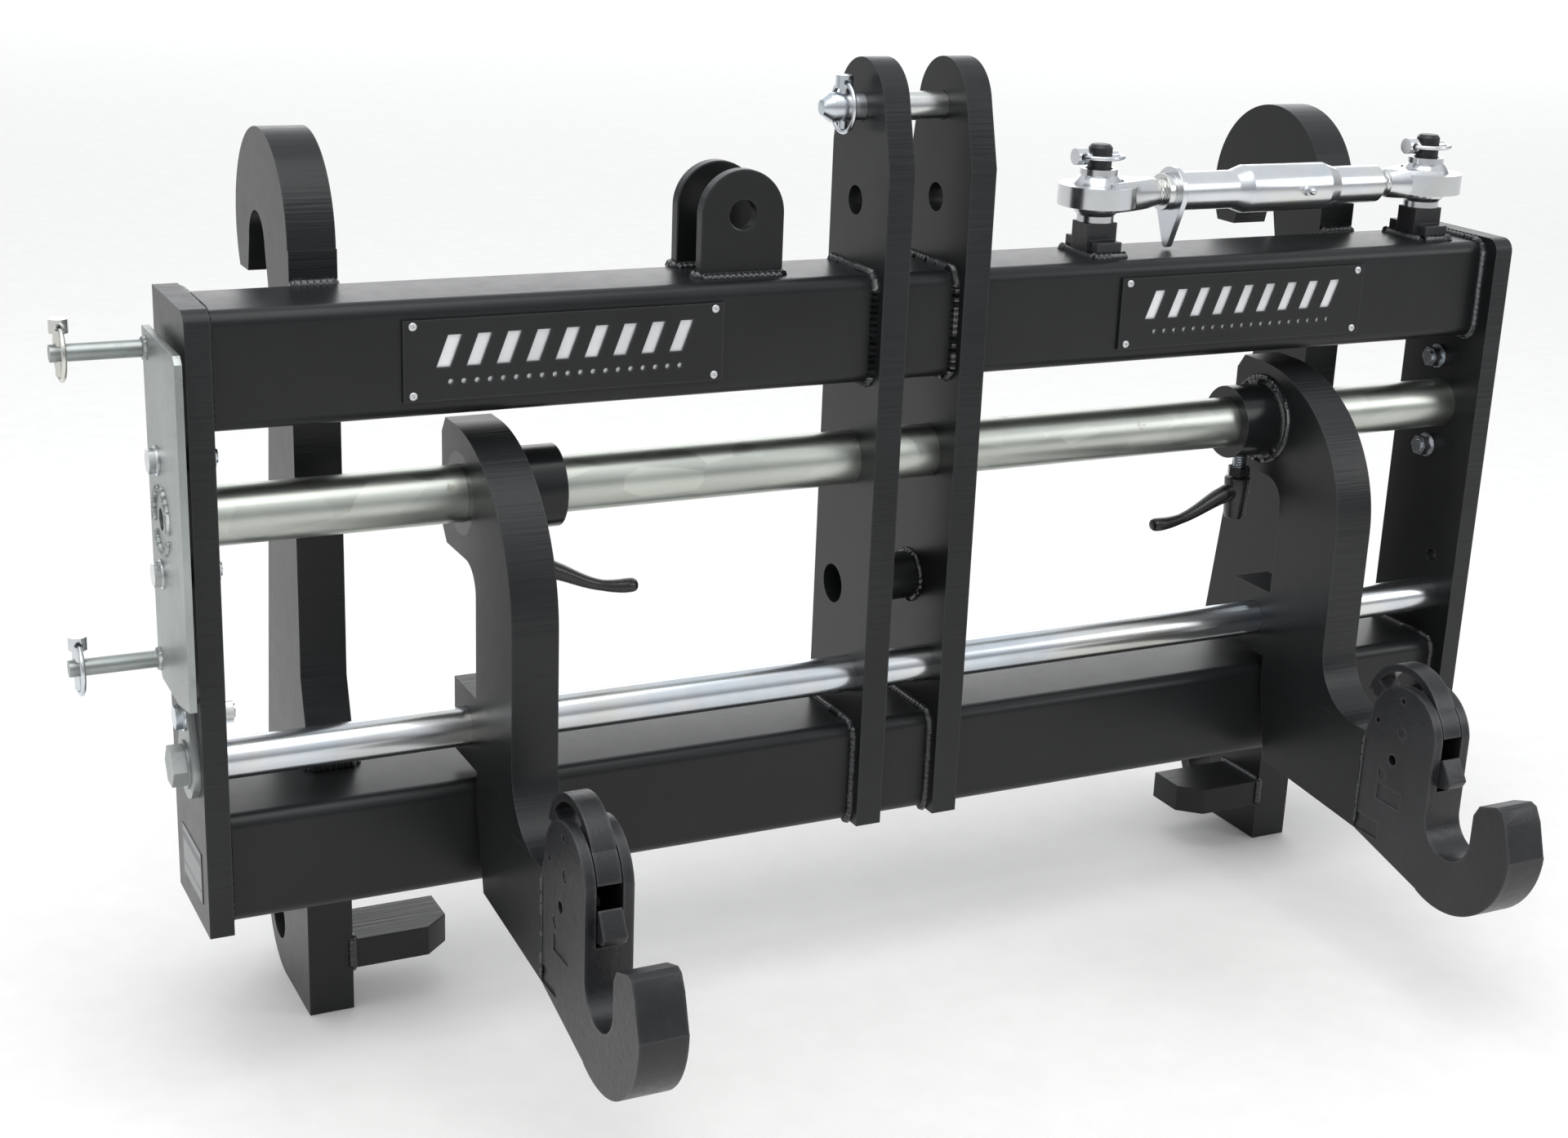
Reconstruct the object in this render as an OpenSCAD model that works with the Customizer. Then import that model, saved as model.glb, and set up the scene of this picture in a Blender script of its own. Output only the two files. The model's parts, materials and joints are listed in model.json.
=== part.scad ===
/* [Frame] */
// Width over the two end plates
frame_w = 1290; // [1150:10:1560]
// Height of the end plates
frame_h = 515; // [490:5:620]
// Side of the square box beams
beam = 95; // [80:5:115]
// Wall of the box beams
beam_wall = 6; // [4:1:8]
// Outer corner radius of the box beams
beam_r = 12; // [9:1:16]
// How far the top beam lies below the top of the end plates
top_drop = 5; // [2:1:12]
// Thickness of the end plates
plate_t = 20; // [15:1:25]
// How far the end plates reach in front of the beams
plate_lip = 18; // [12:1:24]
// Radius of the front top corner of the end plates
plate_r = 13; // [5:1:20]

/* [Mast] */
// Thickness of the mast plates
mast_t = 25; // [20:1:30]
// Clear gap between the mast plates
mast_gap = 55; // [52:1:70]
// How far the mast plates reach in front of the beams
mast_lip = 13; // [8:1:20]
// Height of the upper link pin above the top beam
mast_rise = 138; // [130:2:200]
// Radius of the rounded mast head
mast_r = 42; // [36:1:48]
// Diameter of the holes for the upper link pin
link_hole_d = 25.5; // [22.4:0.1:32]
// Drop from the upper pin to the second hole
second_hole_drop = 80; // [65:1:90]
// Height of the tube between the mast plates
mast_tube_z = 215; // [190:5:240]
// Outer diameter of the tube between the mast plates
mast_tube_d = 44; // [40:1:50]
// Bore of the tube between the mast plates
mast_tube_bore = 36; // [28:1:38]

/* [Rails] */
// Diameter of the upper rail tube
upper_rail_d = 48.3; // [40:0.1:55]
// Wall of the upper rail tube
upper_rail_wall = 5; // [3:0.5:8]
// Drop from the underside of the top beam to the upper rail
upper_rail_drop = 75; // [70:1:110]
// Diameter of the lower rail bar
lower_rail_d = 33.7; // [28:0.1:38]
// Rise from the top of the bottom beam to the lower rail
lower_rail_rise = 45; // [40:1:60]

/* [Arms] */
// Place of the left arm along the rails
left_arm_x = -395; // [-430:5:-350]
// Place of the right arm along the rails
right_arm_x = 423; // [350:1:430]
// Thickness of the arm plates and hooks
arm_t = 40; // [35:1:44]
// Length of the collar past the inner face of an arm
collar_out = 43; // [36:1:55]
// Outer diameter of the collar
collar_d = 70; // [64:1:76]
// Diameter of the clamp screw
clamp_screw_d = 12; // [8:1:14]
// Reach of the clamp lever from its screw
lever_reach = 100; // [70:5:120]

/* [Hooks] */
// Width of the jaw that takes the hitch ball
jaw_w = 58; // [54:1:62]
// Depth of metal under the jaw
jaw_floor = 54; // [45:1:60]
// Width of the slot that holds the latch
latch_slot = 22; // [16:1:26]
// Diameter of the latch pivot pin
latch_pin_d = 10; // [8:1:12]

/* [Hitch brackets] */
// Distance between the centres of the rear brackets
bracket_pitch = 1034; // [900:2:1060]
// Thickness of the rear brackets
bracket_t = 40; // [35:1:45]
// Outer radius of the bracket hook
bracket_hook_r = 87; // [82:1:92]
// Width of the bracket mouth at its round top
mouth_w = 54; // [46:1:58]
// Diameter of the locking pin hole in the lug
lug_hole_d = 42; // [30:1:46]
// How far the lug reaches below the frame
lug_drop = 150; // [140:5:170]
// Length of the stop block
stop_len = 92; // [70:1:110]

/* [Clevis] */
// Place of the clevis along the top beam
clevis_x = -167; // [-220:1:-130]
// Width of the clevis lugs
clevis_w = 76; // [66:1:84]
// Thickness of the clevis lugs
clevis_t = 12; // [10:1:15]
// Clear gap between the clevis lugs
clevis_gap = 40; // [30:1:44]
// Height of the clevis hole above the beam
clevis_h = 52; // [44:1:60]

/* [Top link] */
// Place of the left stowage post
post_x = 198; // [170:1:205]
// Distance between the stowage posts
post_pitch = 382; // [350:1:390]
// Diameter of the stowage posts
post_d = 22; // [18:1:24]
// Diameter of the link balls
link_ball_d = 50; // [46:1:54]
// Bore of the link balls
link_ball_bore = 25.4; // [24.5:0.1:28]
// Width of the link balls along their bore
link_ball_w = 48; // [42:1:52]
// Outer radius of the link eyes
link_eye_r = 36; // [33:1:40]
// Diameter of the tube ends
link_tube_d = 36; // [32:1:40]
// Diameter of the middle of the tube
link_mid_d = 45; // [40:1:50]
// Diameter of the link threads
link_thread_d = 24; // [20:1:27]

/* [Side rack] */
// Thickness of the storage plate
rack_t = 6; // [4:1:8]
// Length of the spacers behind the storage plate
rack_gap = 6; // [4:1:10]
// Length of the storage pegs
peg_len = 72; // [50:1:90]
// Diameter of the storage pegs
peg_d = 14; // [12:1:18]
// Thread size of the frame bolts
bolt_d = 12; // [10:1:14]

/* [Name plates] */
// Width of a name plate
name_w = 276; // [200:2:300]
// Thickness of a name plate
name_t = 2; // [1.5:0.5:4]

/* [Hidden] */
$fn = 64;

// Clearances between pieces
weld_gap = 0.05;      // welded faces
slide_fit = 0.3;      // rails in collars, rings in heads, levers in slots
run_fit = 0.06;       // pins and screws that turn in a bore
far = 1000;           // longer than anything that is cut

// Frame: the origin is on the underside of the bottom beam, at mid width
half_w = frame_w / 2;
inner_w = half_w - plate_t;
beam_front = -beam / 2;
beam_back = beam / 2;
plate_front = beam_front - plate_lip;
top_beam_z = frame_h - top_drop - beam;
top_z = top_beam_z + beam;
mast_front = beam_front - mast_lip;
mast_back = beam_back - 3;
mast_h = top_z + mast_rise;
mast_x = mast_gap / 2 + mast_t / 2;
mast_out = mast_gap / 2 + mast_t;
mast_pin_y = -4;
second_hole_y = -1.5;
mast_tube_y = 8;
mast_kink_z = mast_h - mast_r - 6;

// Rails: measured back from the front of the beams
upper_rail_z = top_beam_z - upper_rail_drop;
lower_rail_z = beam + lower_rail_rise;
upper_rail_y = beam_front + 35.5;
lower_rail_y = beam_front + 18.5;

// Arms: an outline in the Y and Z plane
arm_gap = 5;
arm_back = beam_front - arm_gap;
arm_front = arm_back - 87.5;
arm_top = upper_rail_z + 56;
arm_bend_r = 141;
arm_head_back = upper_rail_y + 46;
arm_head_low = upper_rail_z - 53;
lobe_h = 33;
lobe_back = lower_rail_y + lower_rail_d / 2 + 16.5;
neck_top = 88;
neck_r = 56;
clamp_x = arm_t / 2 + collar_out / 2;
collar_low = upper_rail_z - collar_d / 2;

// Hooks: the jaw centre is where the hitch ball sits
ball_y = arm_front - 193.5;
ball_z = 38;
hook_seam_y = arm_front - 72;
jaw_back = ball_y + jaw_w / 2;
jaw_front = ball_y - jaw_w / 2;
hook_r = jaw_w / 2 + jaw_floor - 4;
dome_r = 44;
dome_y = jaw_back - 0.5 + dome_r;
dome_z = 103;
latch_y = dome_y + 20;
latch_z = 55;
latch_w = latch_slot - 2;

// Clevis: its lugs stand a little behind the middle of the beam
clevis_y = 13;

// Rear brackets
bracket_x = bracket_pitch / 2;
bracket_y = beam_back + 90;
mouth_y = bracket_y + 14;
mouth_top = top_z + 42;
bracket_hook_z = top_z + 26;
mouth_low = top_z - 15;
prong_w = 28;
lug_y = beam_back + 104.5;
lug_z = -100;
lug_r = 60;
stop_d = 61;
stop_z = -111;
stop_h = 28;

// Top link, lying on its posts
link_z = top_z + 54;
link_y = 0;
eye_h = 19;
ball_gap = 0.15;
tube_len = post_pitch - 141;
tube_x = post_x + 86;
nut_len = 10;
lock_t = 6;
lynch_z = link_z + link_ball_w / 2 + 11;
post_top = lynch_z + 11;

// Lynch pins: the ring runs through the head and round the pin
ring_r = 21;
ring_wire = 4;
shank_d = 8;
head_d = 15;
head_len = 12;

// Side rack and frame bolts
rack_back = -half_w - rack_gap;
rack_face = rack_back - rack_t;
rack_front_y = beam_front - 37;
rack_w = 116;
tab_bolt_y = lower_rail_y - 1;
tab_bolt_z = lower_rail_z + 42;
rack_low = tab_bolt_z + 18;
rack_high = frame_h - 29;
rack_bolt_y = -3.5;
rack_bolt_z = [upper_rail_z + 46.5, upper_rail_z - 46.5];
peg_y = 24;
peg_z = [rack_high - 16, rack_low + 13];
bolt_hex = bolt_d * 1.5;
nut_t = bolt_d * 0.85;
end_bolt_d = 20;
mast_pin_d = link_hole_d - 0.5 - 2 * run_fit;

// Name plates
name_x = [-335, 338];
name_h = 66;
name_z = top_beam_z + beam / 2;
name_back_t = 1;

// ---- shared shapes ----------------------------------------------------------

// Extrudes an outline drawn in Y and Z by t along X, about x = 0
module across(t) rotate([90, 0, 90]) linear_extrude(t, center = true) children();

// A cylinder along X from x0 to x1
module rod_x(x0, x1, d) translate([x0, 0, 0]) rotate([0, 90, 0]) cylinder(h = x1 - x0, d = d);

// A rounded square outline, centred on y = 0 and standing on z = 0
module beam_outline(side, r) {
    translate([0, side / 2]) {
        square([side - 2 * r, side], center = true);
        square([side, side - 2 * r], center = true);
        for (a = [-1, 1], b = [-1, 1])
            translate([a * (side / 2 - r), b * (side / 2 - r)]) circle(r);
    }
}

// Where a straight line from p touches the circle of radius r about c, on side s
function touch(c, r, p, s) =
    let(v = p - c, a = atan2(v[1], v[0]) + s * acos(r / norm(v))) c + r * [cos(a), sin(a)];

// The outline of a beam, grown for what is welded round it
module beam_cut(z) {
    translate([0, z - weld_gap]) beam_outline(beam + 2 * weld_gap, beam_r + weld_gap);
}

// A hexagon head or nut along X, its face at x = 0 and growing towards +X
module hex_x(af, t) rotate([0, 90, 0]) rotate(30) cylinder(h = t, d = af / cos(30), $fn = 6);

module box_beam(z) {
    translate([0, 0, z]) across(2 * inner_w) difference() {
        beam_outline(beam, beam_r);
        translate([0, beam_wall]) beam_outline(beam - 2 * beam_wall, beam_r - beam_wall);
    }
}

// ---- frame -------------------------------------------------------------------

module top_beam() color("#2b2d2e") box_beam(top_beam_z);

module bottom_beam() color("#2b2d2e") box_beam(0);

module end_plate(side) {
    color("#2f3132") difference() {
        translate([side * (half_w - plate_t / 2), 0, 0]) across(plate_t) {
            translate([plate_front, 0]) square([beam_back - plate_front, frame_h - plate_r]);
            translate([plate_front + plate_r, 0])
                square([beam_back - plate_front - plate_r, frame_h]);
            translate([plate_front + plate_r, frame_h - plate_r]) circle(plate_r);
        }
        at_upper_rail() rod_x(-far, far, upper_rail_d + 2 * weld_gap);
        at_lower_rail() rod_x(-far, far, lower_rail_d + 2 * weld_gap);
        for (z = rack_bolt_z)
            translate([0, rack_bolt_y, z]) rod_x(-far, far, bolt_d + 1);
        translate([0, tab_bolt_y, tab_bolt_z]) rod_x(-far, far, bolt_d + 1);
    }
}

module left_end_plate() end_plate(-1);

module right_end_plate() end_plate(1);

module mast_plate(side) {
    color("#2b2d2e") translate([side * mast_x, 0, 0]) across(mast_t) difference() {
        union() {
            head = [mast_pin_y, mast_h];
            back = [mast_back, mast_kink_z + 15];
            front = [mast_front, mast_kink_z];
            polygon([
                [mast_front, 0], [mast_back, 0], back, touch(head, mast_r - 0.05, back, 1), head,
                touch(head, mast_r - 0.05, front, -1), front,
            ]);
            translate(head) circle(mast_r);
        }
        beam_cut(0);
        beam_cut(top_beam_z);
        translate([0, -far]) square([far, far + beam / 2]);
        translate([mast_pin_y, mast_h]) circle(d = link_hole_d);
        translate([second_hole_y, mast_h - second_hole_drop]) circle(d = link_hole_d);
        translate([mast_tube_y, mast_tube_z]) circle(d = mast_tube_bore);
        translate([upper_rail_y, upper_rail_z]) circle(d = upper_rail_d + 2 * weld_gap);
        translate([lower_rail_y, lower_rail_z]) circle(d = lower_rail_d + 2 * weld_gap);
    }
}

module left_mast_plate() mast_plate(-1);

module right_mast_plate() mast_plate(1);

module mast_tube() {
    color("#35383a") translate([0, mast_tube_y, mast_tube_z]) difference() {
        rod_x(-mast_gap / 2 + weld_gap, mast_gap / 2 - weld_gap, mast_tube_d);
        rod_x(-far, far, mast_tube_bore);
    }
}

module at_upper_rail() translate([0, upper_rail_y, upper_rail_z]) children();

module at_lower_rail() translate([0, lower_rail_y, lower_rail_z]) children();

module upper_rail() {
    color("#c9cdcf") at_upper_rail() difference() {
        rod_x(-half_w, half_w, upper_rail_d);
        rod_x(-far, far, upper_rail_d - 2 * upper_rail_wall);
    }
}

module lower_rail() {
    color("#d5dadd") at_lower_rail() difference() {
        rod_x(-half_w, half_w, lower_rail_d);
        rod_x(-far, -half_w + 40, end_bolt_d + 2 * run_fit);
    }
}

// ---- rear brackets -------------------------------------------------------------

module bracket_outline() {
    difference() {
        union() {
            difference() {
                translate([bracket_y, bracket_hook_z]) circle(bracket_hook_r, $fn = 128);
                translate([bracket_y - far, mouth_low - 2 * far]) square([2 * far, 2 * far]);
            }
            translate([beam_back, mouth_low])
                square([mouth_y + mouth_w / 2 + 8 + prong_w - beam_back, bracket_hook_z - mouth_low]);
            polygon([
                [beam_back, bracket_hook_z], [beam_back, -lug_drop],
                [lug_y - 22, -lug_drop], [lug_y - 22 + lug_r, lug_r - lug_drop],
                [mouth_y - mouth_w / 2 - 8, mouth_low], [mouth_y - mouth_w / 2, bracket_hook_z],
            ]);
            translate([lug_y - 22, lug_r - lug_drop]) circle(lug_r);
            polygon([
                [beam_back, beam + 75], [beam_back - 22, beam + 4], [beam_back - 22, beam],
                [beam_back, beam - 2 * beam_r],
            ]);
        }
        translate([mouth_y, mouth_top - mouth_w / 2]) circle(d = mouth_w);
        polygon([
            [mouth_y - mouth_w / 2, mouth_top - mouth_w / 2],
            [mouth_y + mouth_w / 2, mouth_top - mouth_w / 2],
            [mouth_y + mouth_w / 2 + 8, mouth_low - 1],
            [mouth_y - mouth_w / 2 - 8, mouth_low - 1],
        ]);
        translate([lug_y, lug_z]) circle(d = lug_hole_d);
        beam_cut(0);
        beam_cut(top_beam_z);
        translate([beam_back - far, -far]) square([far + weld_gap, far - 1]);
    }
}

module hitch_bracket(side) {
    color("#2b2d2e") translate([side * bracket_x, 0, 0]) across(bracket_t) bracket_outline();
}

module left_hitch_bracket() hitch_bracket(-1);

module right_hitch_bracket() hitch_bracket(1);

// The block is welded to the inner face of the lug and points to mid width
module stop_block(side) {
    color("#2b2d2e") mirror([side > 0 ? 1 : 0, 0, 0])
        translate([-bracket_x + bracket_t / 2 + weld_gap, beam_back, stop_z])
        linear_extrude(stop_h) polygon([
            [0, 0], [stop_len - 22, 0], [stop_len, 20], [stop_len, stop_d], [0, stop_d],
        ]);
}

module left_stop_block() stop_block(-1);

module right_stop_block() stop_block(1);

// ---- fittings on the top beam ---------------------------------------------------

module clevis_lugs() {
    color("#2b2d2e") for (s = [-1, 1])
        translate([clevis_x, clevis_y + s * (clevis_gap + clevis_t) / 2, top_z + weld_gap])
            rotate([90, 0, 0]) linear_extrude(clevis_t, center = true) difference() {
                union() {
                    translate([-clevis_w / 2, 0]) square([clevis_w, clevis_h]);
                    translate([0, clevis_h]) circle(clevis_w / 2);
                }
                translate([0, clevis_h]) circle(d = link_hole_d);
            }
}

module at_post(i) translate([post_x + i * post_pitch, link_y, 0]) children();

module link_posts() {
    seat_z = link_z - link_ball_w / 2 - 0.3;
    color("#26282a") for (i = [0, 1]) at_post(i) difference() {
        union() {
            translate([-13, -27, top_z + weld_gap]) cube([26, 54, 14]);
            translate([-16, -13, top_z + weld_gap]) cube([32, 26, seat_z - top_z - weld_gap]);
            translate([0, 0, seat_z - 1]) cylinder(h = post_top - seat_z - 2, d = post_d);
            translate([0, 0, post_top - 3]) cylinder(h = 3, d1 = post_d, d2 = post_d - 5);
        }
        translate([0, 0, lynch_z]) rod_x(-far, far, shank_d + 2 * run_fit);
    }
}

// Slanted bars and a row of dots stand in for lettering
module name_outline() {
    difference() {
        square([name_w, name_h], center = true);
        for (i = [-4:4]) translate([i * 25, 7])
            polygon([[-11, -13], [1, -13], [11, 13], [-1, 13]]);
        for (i = [-9:9]) translate([i * 11, -18]) circle(2.2);
        rivet_places() circle(d = 4);
    }
}

module rivet_places() {
    for (a = [-1, 1], b = [-1, 1]) translate([a * (name_w / 2 - 8), b * (name_h / 2 - 5)]) children();
}

// Places an outline on the front of the top beam, at depth t0 to t0 + t
module on_name_face(t0, t) {
    for (x = name_x) translate([x, beam_front - t0, name_z])
        rotate([90, 0, 0]) linear_extrude(t) children();
}

module name_plates() color("#1f2123") on_name_face(name_back_t, name_t) name_outline();

module name_backings() {
    color("#c4c8ca") on_name_face(0, name_back_t)
        square([name_w - 24, name_h - 18], center = true);
}

module name_rivets() {
    color("#c4c8ca") {
        on_name_face(weld_gap, name_back_t + name_t) rivet_places() circle(d = 3.9);
        on_name_face(name_back_t + name_t + weld_gap, 1.6) rivet_places() circle(d = 7);
    }
}

module type_label() {
    color("#8c9093") translate([-half_w - 0.3, -45, 22]) across(0.6) square([70, 44]);
}

// ---- side rack and frame bolts -----------------------------------------------------

module storage_plate() {
    color("#cfd4d6") translate([rack_face + rack_t / 2, 0, 0]) across(rack_t) difference() {
        polygon([
            [rack_front_y, rack_low + 5], [rack_front_y + 42, rack_low - 3],
            [rack_front_y + rack_w - 14, rack_low - 2], [rack_front_y + rack_w, rack_low + 14],
            [rack_front_y + rack_w + 3, rack_high], [rack_front_y + 6, rack_high],
            [rack_front_y, rack_high - 6],
        ]);
        for (z = rack_bolt_z) translate([rack_bolt_y, z]) circle(d = bolt_d + 1);
        for (z = peg_z) translate([peg_y, z]) circle(d = peg_d + 2 * weld_gap);
        translate([upper_rail_y + 4, upper_rail_z]) circle(d = 18);
    }
}

module storage_pegs() {
    color("#cfd4d6") for (z = peg_z) translate([0, peg_y, z]) difference() {
        rod_x(rack_face - peg_len, rack_back - weld_gap, peg_d);
        translate([rack_face - peg_len + 8, 0, -far / 2]) cylinder(h = far, d = shank_d + 2 * run_fit);
    }
}

module rack_spacers() {
    color("#cfd4d6") for (z = rack_bolt_z) translate([0, rack_bolt_y, z]) difference() {
        rod_x(rack_back + weld_gap, -half_w - weld_gap, bolt_d + 10);
        rod_x(-far, far, bolt_d + 1);
    }
}

// A bolt along X with its head under x0 and its shank to x1
module bolt_x(x0, x1, d) {
    head_t = d * 0.65;
    washer_t = 1.6;
    translate([x0 - head_t, 0, 0]) hex_x(d * 1.5, head_t);
    rod_x(x0 - 1, x1, d);
    translate([x0 - washer_t, 0, 0]) rod_x(0, washer_t - weld_gap, d * 2);
}

module rack_bolts() {
    color("#cfd4d6") {
        for (z = rack_bolt_z) translate([0, rack_bolt_y, z])
            bolt_x(rack_face - weld_gap, -inner_w + nut_t + 4, bolt_d);
        translate([0, tab_bolt_y, tab_bolt_z])
            bolt_x(-half_w - rack_t - weld_gap, -inner_w + nut_t + 4, bolt_d);
        for (z = rack_bolt_z) mirror([1, 0, 0]) translate([0, rack_bolt_y, z])
            bolt_x(-half_w - rack_t - weld_gap, -inner_w + nut_t + 4, bolt_d);
    }
}

// A nut and its washer against the inner face of an end plate
module plate_nut() {
    difference() {
        union() {
            translate([-inner_w + weld_gap, 0, 0]) rod_x(0, 2, bolt_d * 2);
            translate([-inner_w + 2, 0, 0]) hex_x(bolt_hex, nut_t);
        }
        rod_x(-far, far, bolt_d + 2 * run_fit);
    }
}

module frame_nuts() {
    color("#cfd4d6") {
        for (z = rack_bolt_z, m = [0, 1]) mirror([m, 0, 0])
            translate([0, rack_bolt_y, z]) plate_nut();
        translate([0, tab_bolt_y, tab_bolt_z]) plate_nut();
    }
}

// The tab locks the end of the lower rail from outside
module rail_tab() {
    color("#c3c9cb") translate([-half_w - rack_t / 2 - weld_gap / 2, 0, 0])
        across(rack_t - weld_gap) difference() {
            hull() {
                translate([lower_rail_y, lower_rail_z]) circle(28);
                translate([tab_bolt_y, tab_bolt_z]) circle(14);
            }
            translate([lower_rail_y, lower_rail_z]) circle(d = end_bolt_d + 1);
            translate([tab_bolt_y, tab_bolt_z]) circle(d = bolt_d + 1);
        }
}

module rail_end_bolt() {
    color("#c3c9cb") at_lower_rail() bolt_x(-half_w - rack_t - weld_gap, -half_w + 35, end_bolt_d);
}

module right_rail_cover() {
    color("#cfd4d6") translate([half_w + rack_t / 2 + weld_gap / 2, 0, 0])
        across(rack_t - weld_gap) difference() {
            translate([rack_bolt_y - 26, upper_rail_z - 68]) square([52, 136]);
            for (z = rack_bolt_z) translate([rack_bolt_y, z]) circle(d = bolt_d + 1);
        }
}

// ---- top link ------------------------------------------------------------------------

module at_link() translate([0, link_y, link_z]) children();

// An eye with its neck and thread, pointing along +X from the eye
module link_end(neck, shank_len) {
    color("#cfd3d4") difference() {
        union() {
            cylinder(h = eye_h, r = link_eye_r, center = true);
            intersection() {
                rotate([0, 90, 0]) cylinder(h = neck, d1 = 60, d2 = 26);
                translate([0, -40, -eye_h / 2 - 4]) cube([neck, 80, eye_h + 8]);
            }
            rod_x(neck - 12, neck - 12 + shank_len, link_thread_d);
        }
        sphere(d = link_ball_d + 2 * ball_gap, $fn = 96);
        cylinder(h = far, d = 47, center = true);
    }
}

module left_link_end() at_link() translate([post_x, 0, 0]) link_end(62, 86);

module right_link_end() {
    at_link() translate([post_x + post_pitch, 0, 0]) mirror([1, 0, 0]) link_end(50, 50);
}

module link_ball() {
    color("#b9bec0") difference() {
        union() {
            sphere(d = link_ball_d, $fn = 96);
            cylinder(h = link_ball_w, d = 34, center = true);
        }
        cylinder(h = far, d = link_ball_bore, center = true);
        for (s = [-1, 1]) translate([0, 0, s * (link_ball_w / 2 + 20)])
            cube([80, 80, 40], center = true);
    }
}

module left_link_ball() at_link() translate([post_x, 0, 0]) link_ball();

module right_link_ball() at_link() translate([post_x + post_pitch, 0, 0]) link_ball();

module link_tube() {
    step = 14;
    mid0 = 62;
    mid1 = tube_len - 74;
    nipple_x = (mid0 + mid1) / 2 + 22;
    color("#cfd3d4") at_link() translate([tube_x, 0, 0]) {
        rotate([0, 90, 0]) rotate_extrude() polygon([
            [link_thread_d / 2 + slide_fit, 0], [link_tube_d / 2, 0],
            [link_tube_d / 2, mid0], [link_mid_d / 2, mid0 + step],
            [link_mid_d / 2, mid1], [link_tube_d / 2, mid1 + step],
            [link_tube_d / 2, tube_len - 8], [link_tube_d / 2 - 5, tube_len],
            [link_thread_d / 2 + slide_fit, tube_len],
        ]);
        translate([nipple_x, 0, 0]) rotate([90, 0, 0]) {
            cylinder(h = link_mid_d / 2 + 4, d = 11, $fn = 6);
            translate([0, 0, link_mid_d / 2 + 3]) cylinder(h = 6, d = 6);
        }
        translate([nipple_x, 0, 0]) rotate([90, 0, 0]) translate([0, 0, link_mid_d / 2 + 8])
            sphere(d = 7, $fn = 32);
    }
}

// A lock nut with a teardrop handle that hangs from it
module link_lock_plate() {
    plate_x = tube_x - 0.6 - lock_t;
    color("#d3d7d8") at_link() difference() {
        union() {
            translate([plate_x + lock_t / 2, 0, 0]) across(lock_t) hull() {
                circle(r = 23);
                translate([0, -47]) circle(r = 5);
            }
            rod_x(plate_x - nut_len, plate_x + 1, 34);
        }
        rod_x(-far, far, link_thread_d + 2 * slide_fit);
    }
}

// ---- lynch pins -------------------------------------------------------------------------

// The shank lies along X through the origin, its head at the -X end
module lynch_pin() {
    color("#b9bec0") difference() {
        union() {
            rod_x(-ring_r, ring_r - ring_wire / 2 - 1.1, shank_d);
            rod_x(-ring_r - head_len / 2, -ring_r + head_len / 2 - 1, head_d);
        }
        translate([-ring_r, 0, 0]) rotate([90, 0, 0])
            cylinder(h = far, d = ring_wire + 2 * slide_fit + 3, center = true);
    }
}

// The ring lies in the XY plane at rest and turns about Y through the head
module lynch_ring() {
    color("#c9ced0") rotate_extrude() translate([ring_r, 0]) circle(d = ring_wire, $fn = 24);
}

module at_post_pin(i) at_post(i) translate([0, 0, lynch_z]) children();

module at_mast_pin() {
    translate([-mast_out - 17, mast_pin_y, mast_h]) rotate([0, 90, 0]) mirror([0, 0, 1]) children();
}

module at_peg_pin(i) {
    translate([rack_face - peg_len + 8, peg_y, peg_z[i]]) rotate([0, 90, 0]) children();
}

module mast_pin() {
    tip = -mast_out - 38;
    color("#cfd3d4") translate([0, mast_pin_y, mast_h]) difference() {
        union() {
            rod_x(tip + 8, mast_out + 2, mast_pin_d);
            translate([tip, 0, 0]) rotate([0, 90, 0])
                cylinder(h = 8, d1 = mast_pin_d - 12, d2 = mast_pin_d);
            rod_x(mast_out + 1, mast_out + 9, mast_pin_d + 16);
        }
        translate([-mast_out - 17, 0, 0]) cylinder(h = far, d = shank_d + 2 * run_fit, center = true);
    }
}

module mast_lynch_pin() at_mast_pin() lynch_pin();

module mast_lynch_ring() at_mast_pin() lynch_ring();

module post_lynch_pins() for (i = [0, 1]) at_post_pin(i) lynch_pin();

module left_post_ring() at_post_pin(0) lynch_ring();

module right_post_ring() at_post_pin(1) lynch_ring();

module peg_lynch_pins() for (i = [0, 1]) at_peg_pin(i) lynch_pin();

module upper_peg_ring() at_peg_pin(0) lynch_ring();

module lower_peg_ring() at_peg_pin(1) lynch_ring();

// ---- arms ---------------------------------------------------------------------------------

// Places an arm piece: its own +X points to mid width on both sides
module at_arm(side) {
    translate([side < 0 ? left_arm_x : right_arm_x, 0, 0])
        mirror([side > 0 ? 1 : 0, 0, 0]) children();
}

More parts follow.
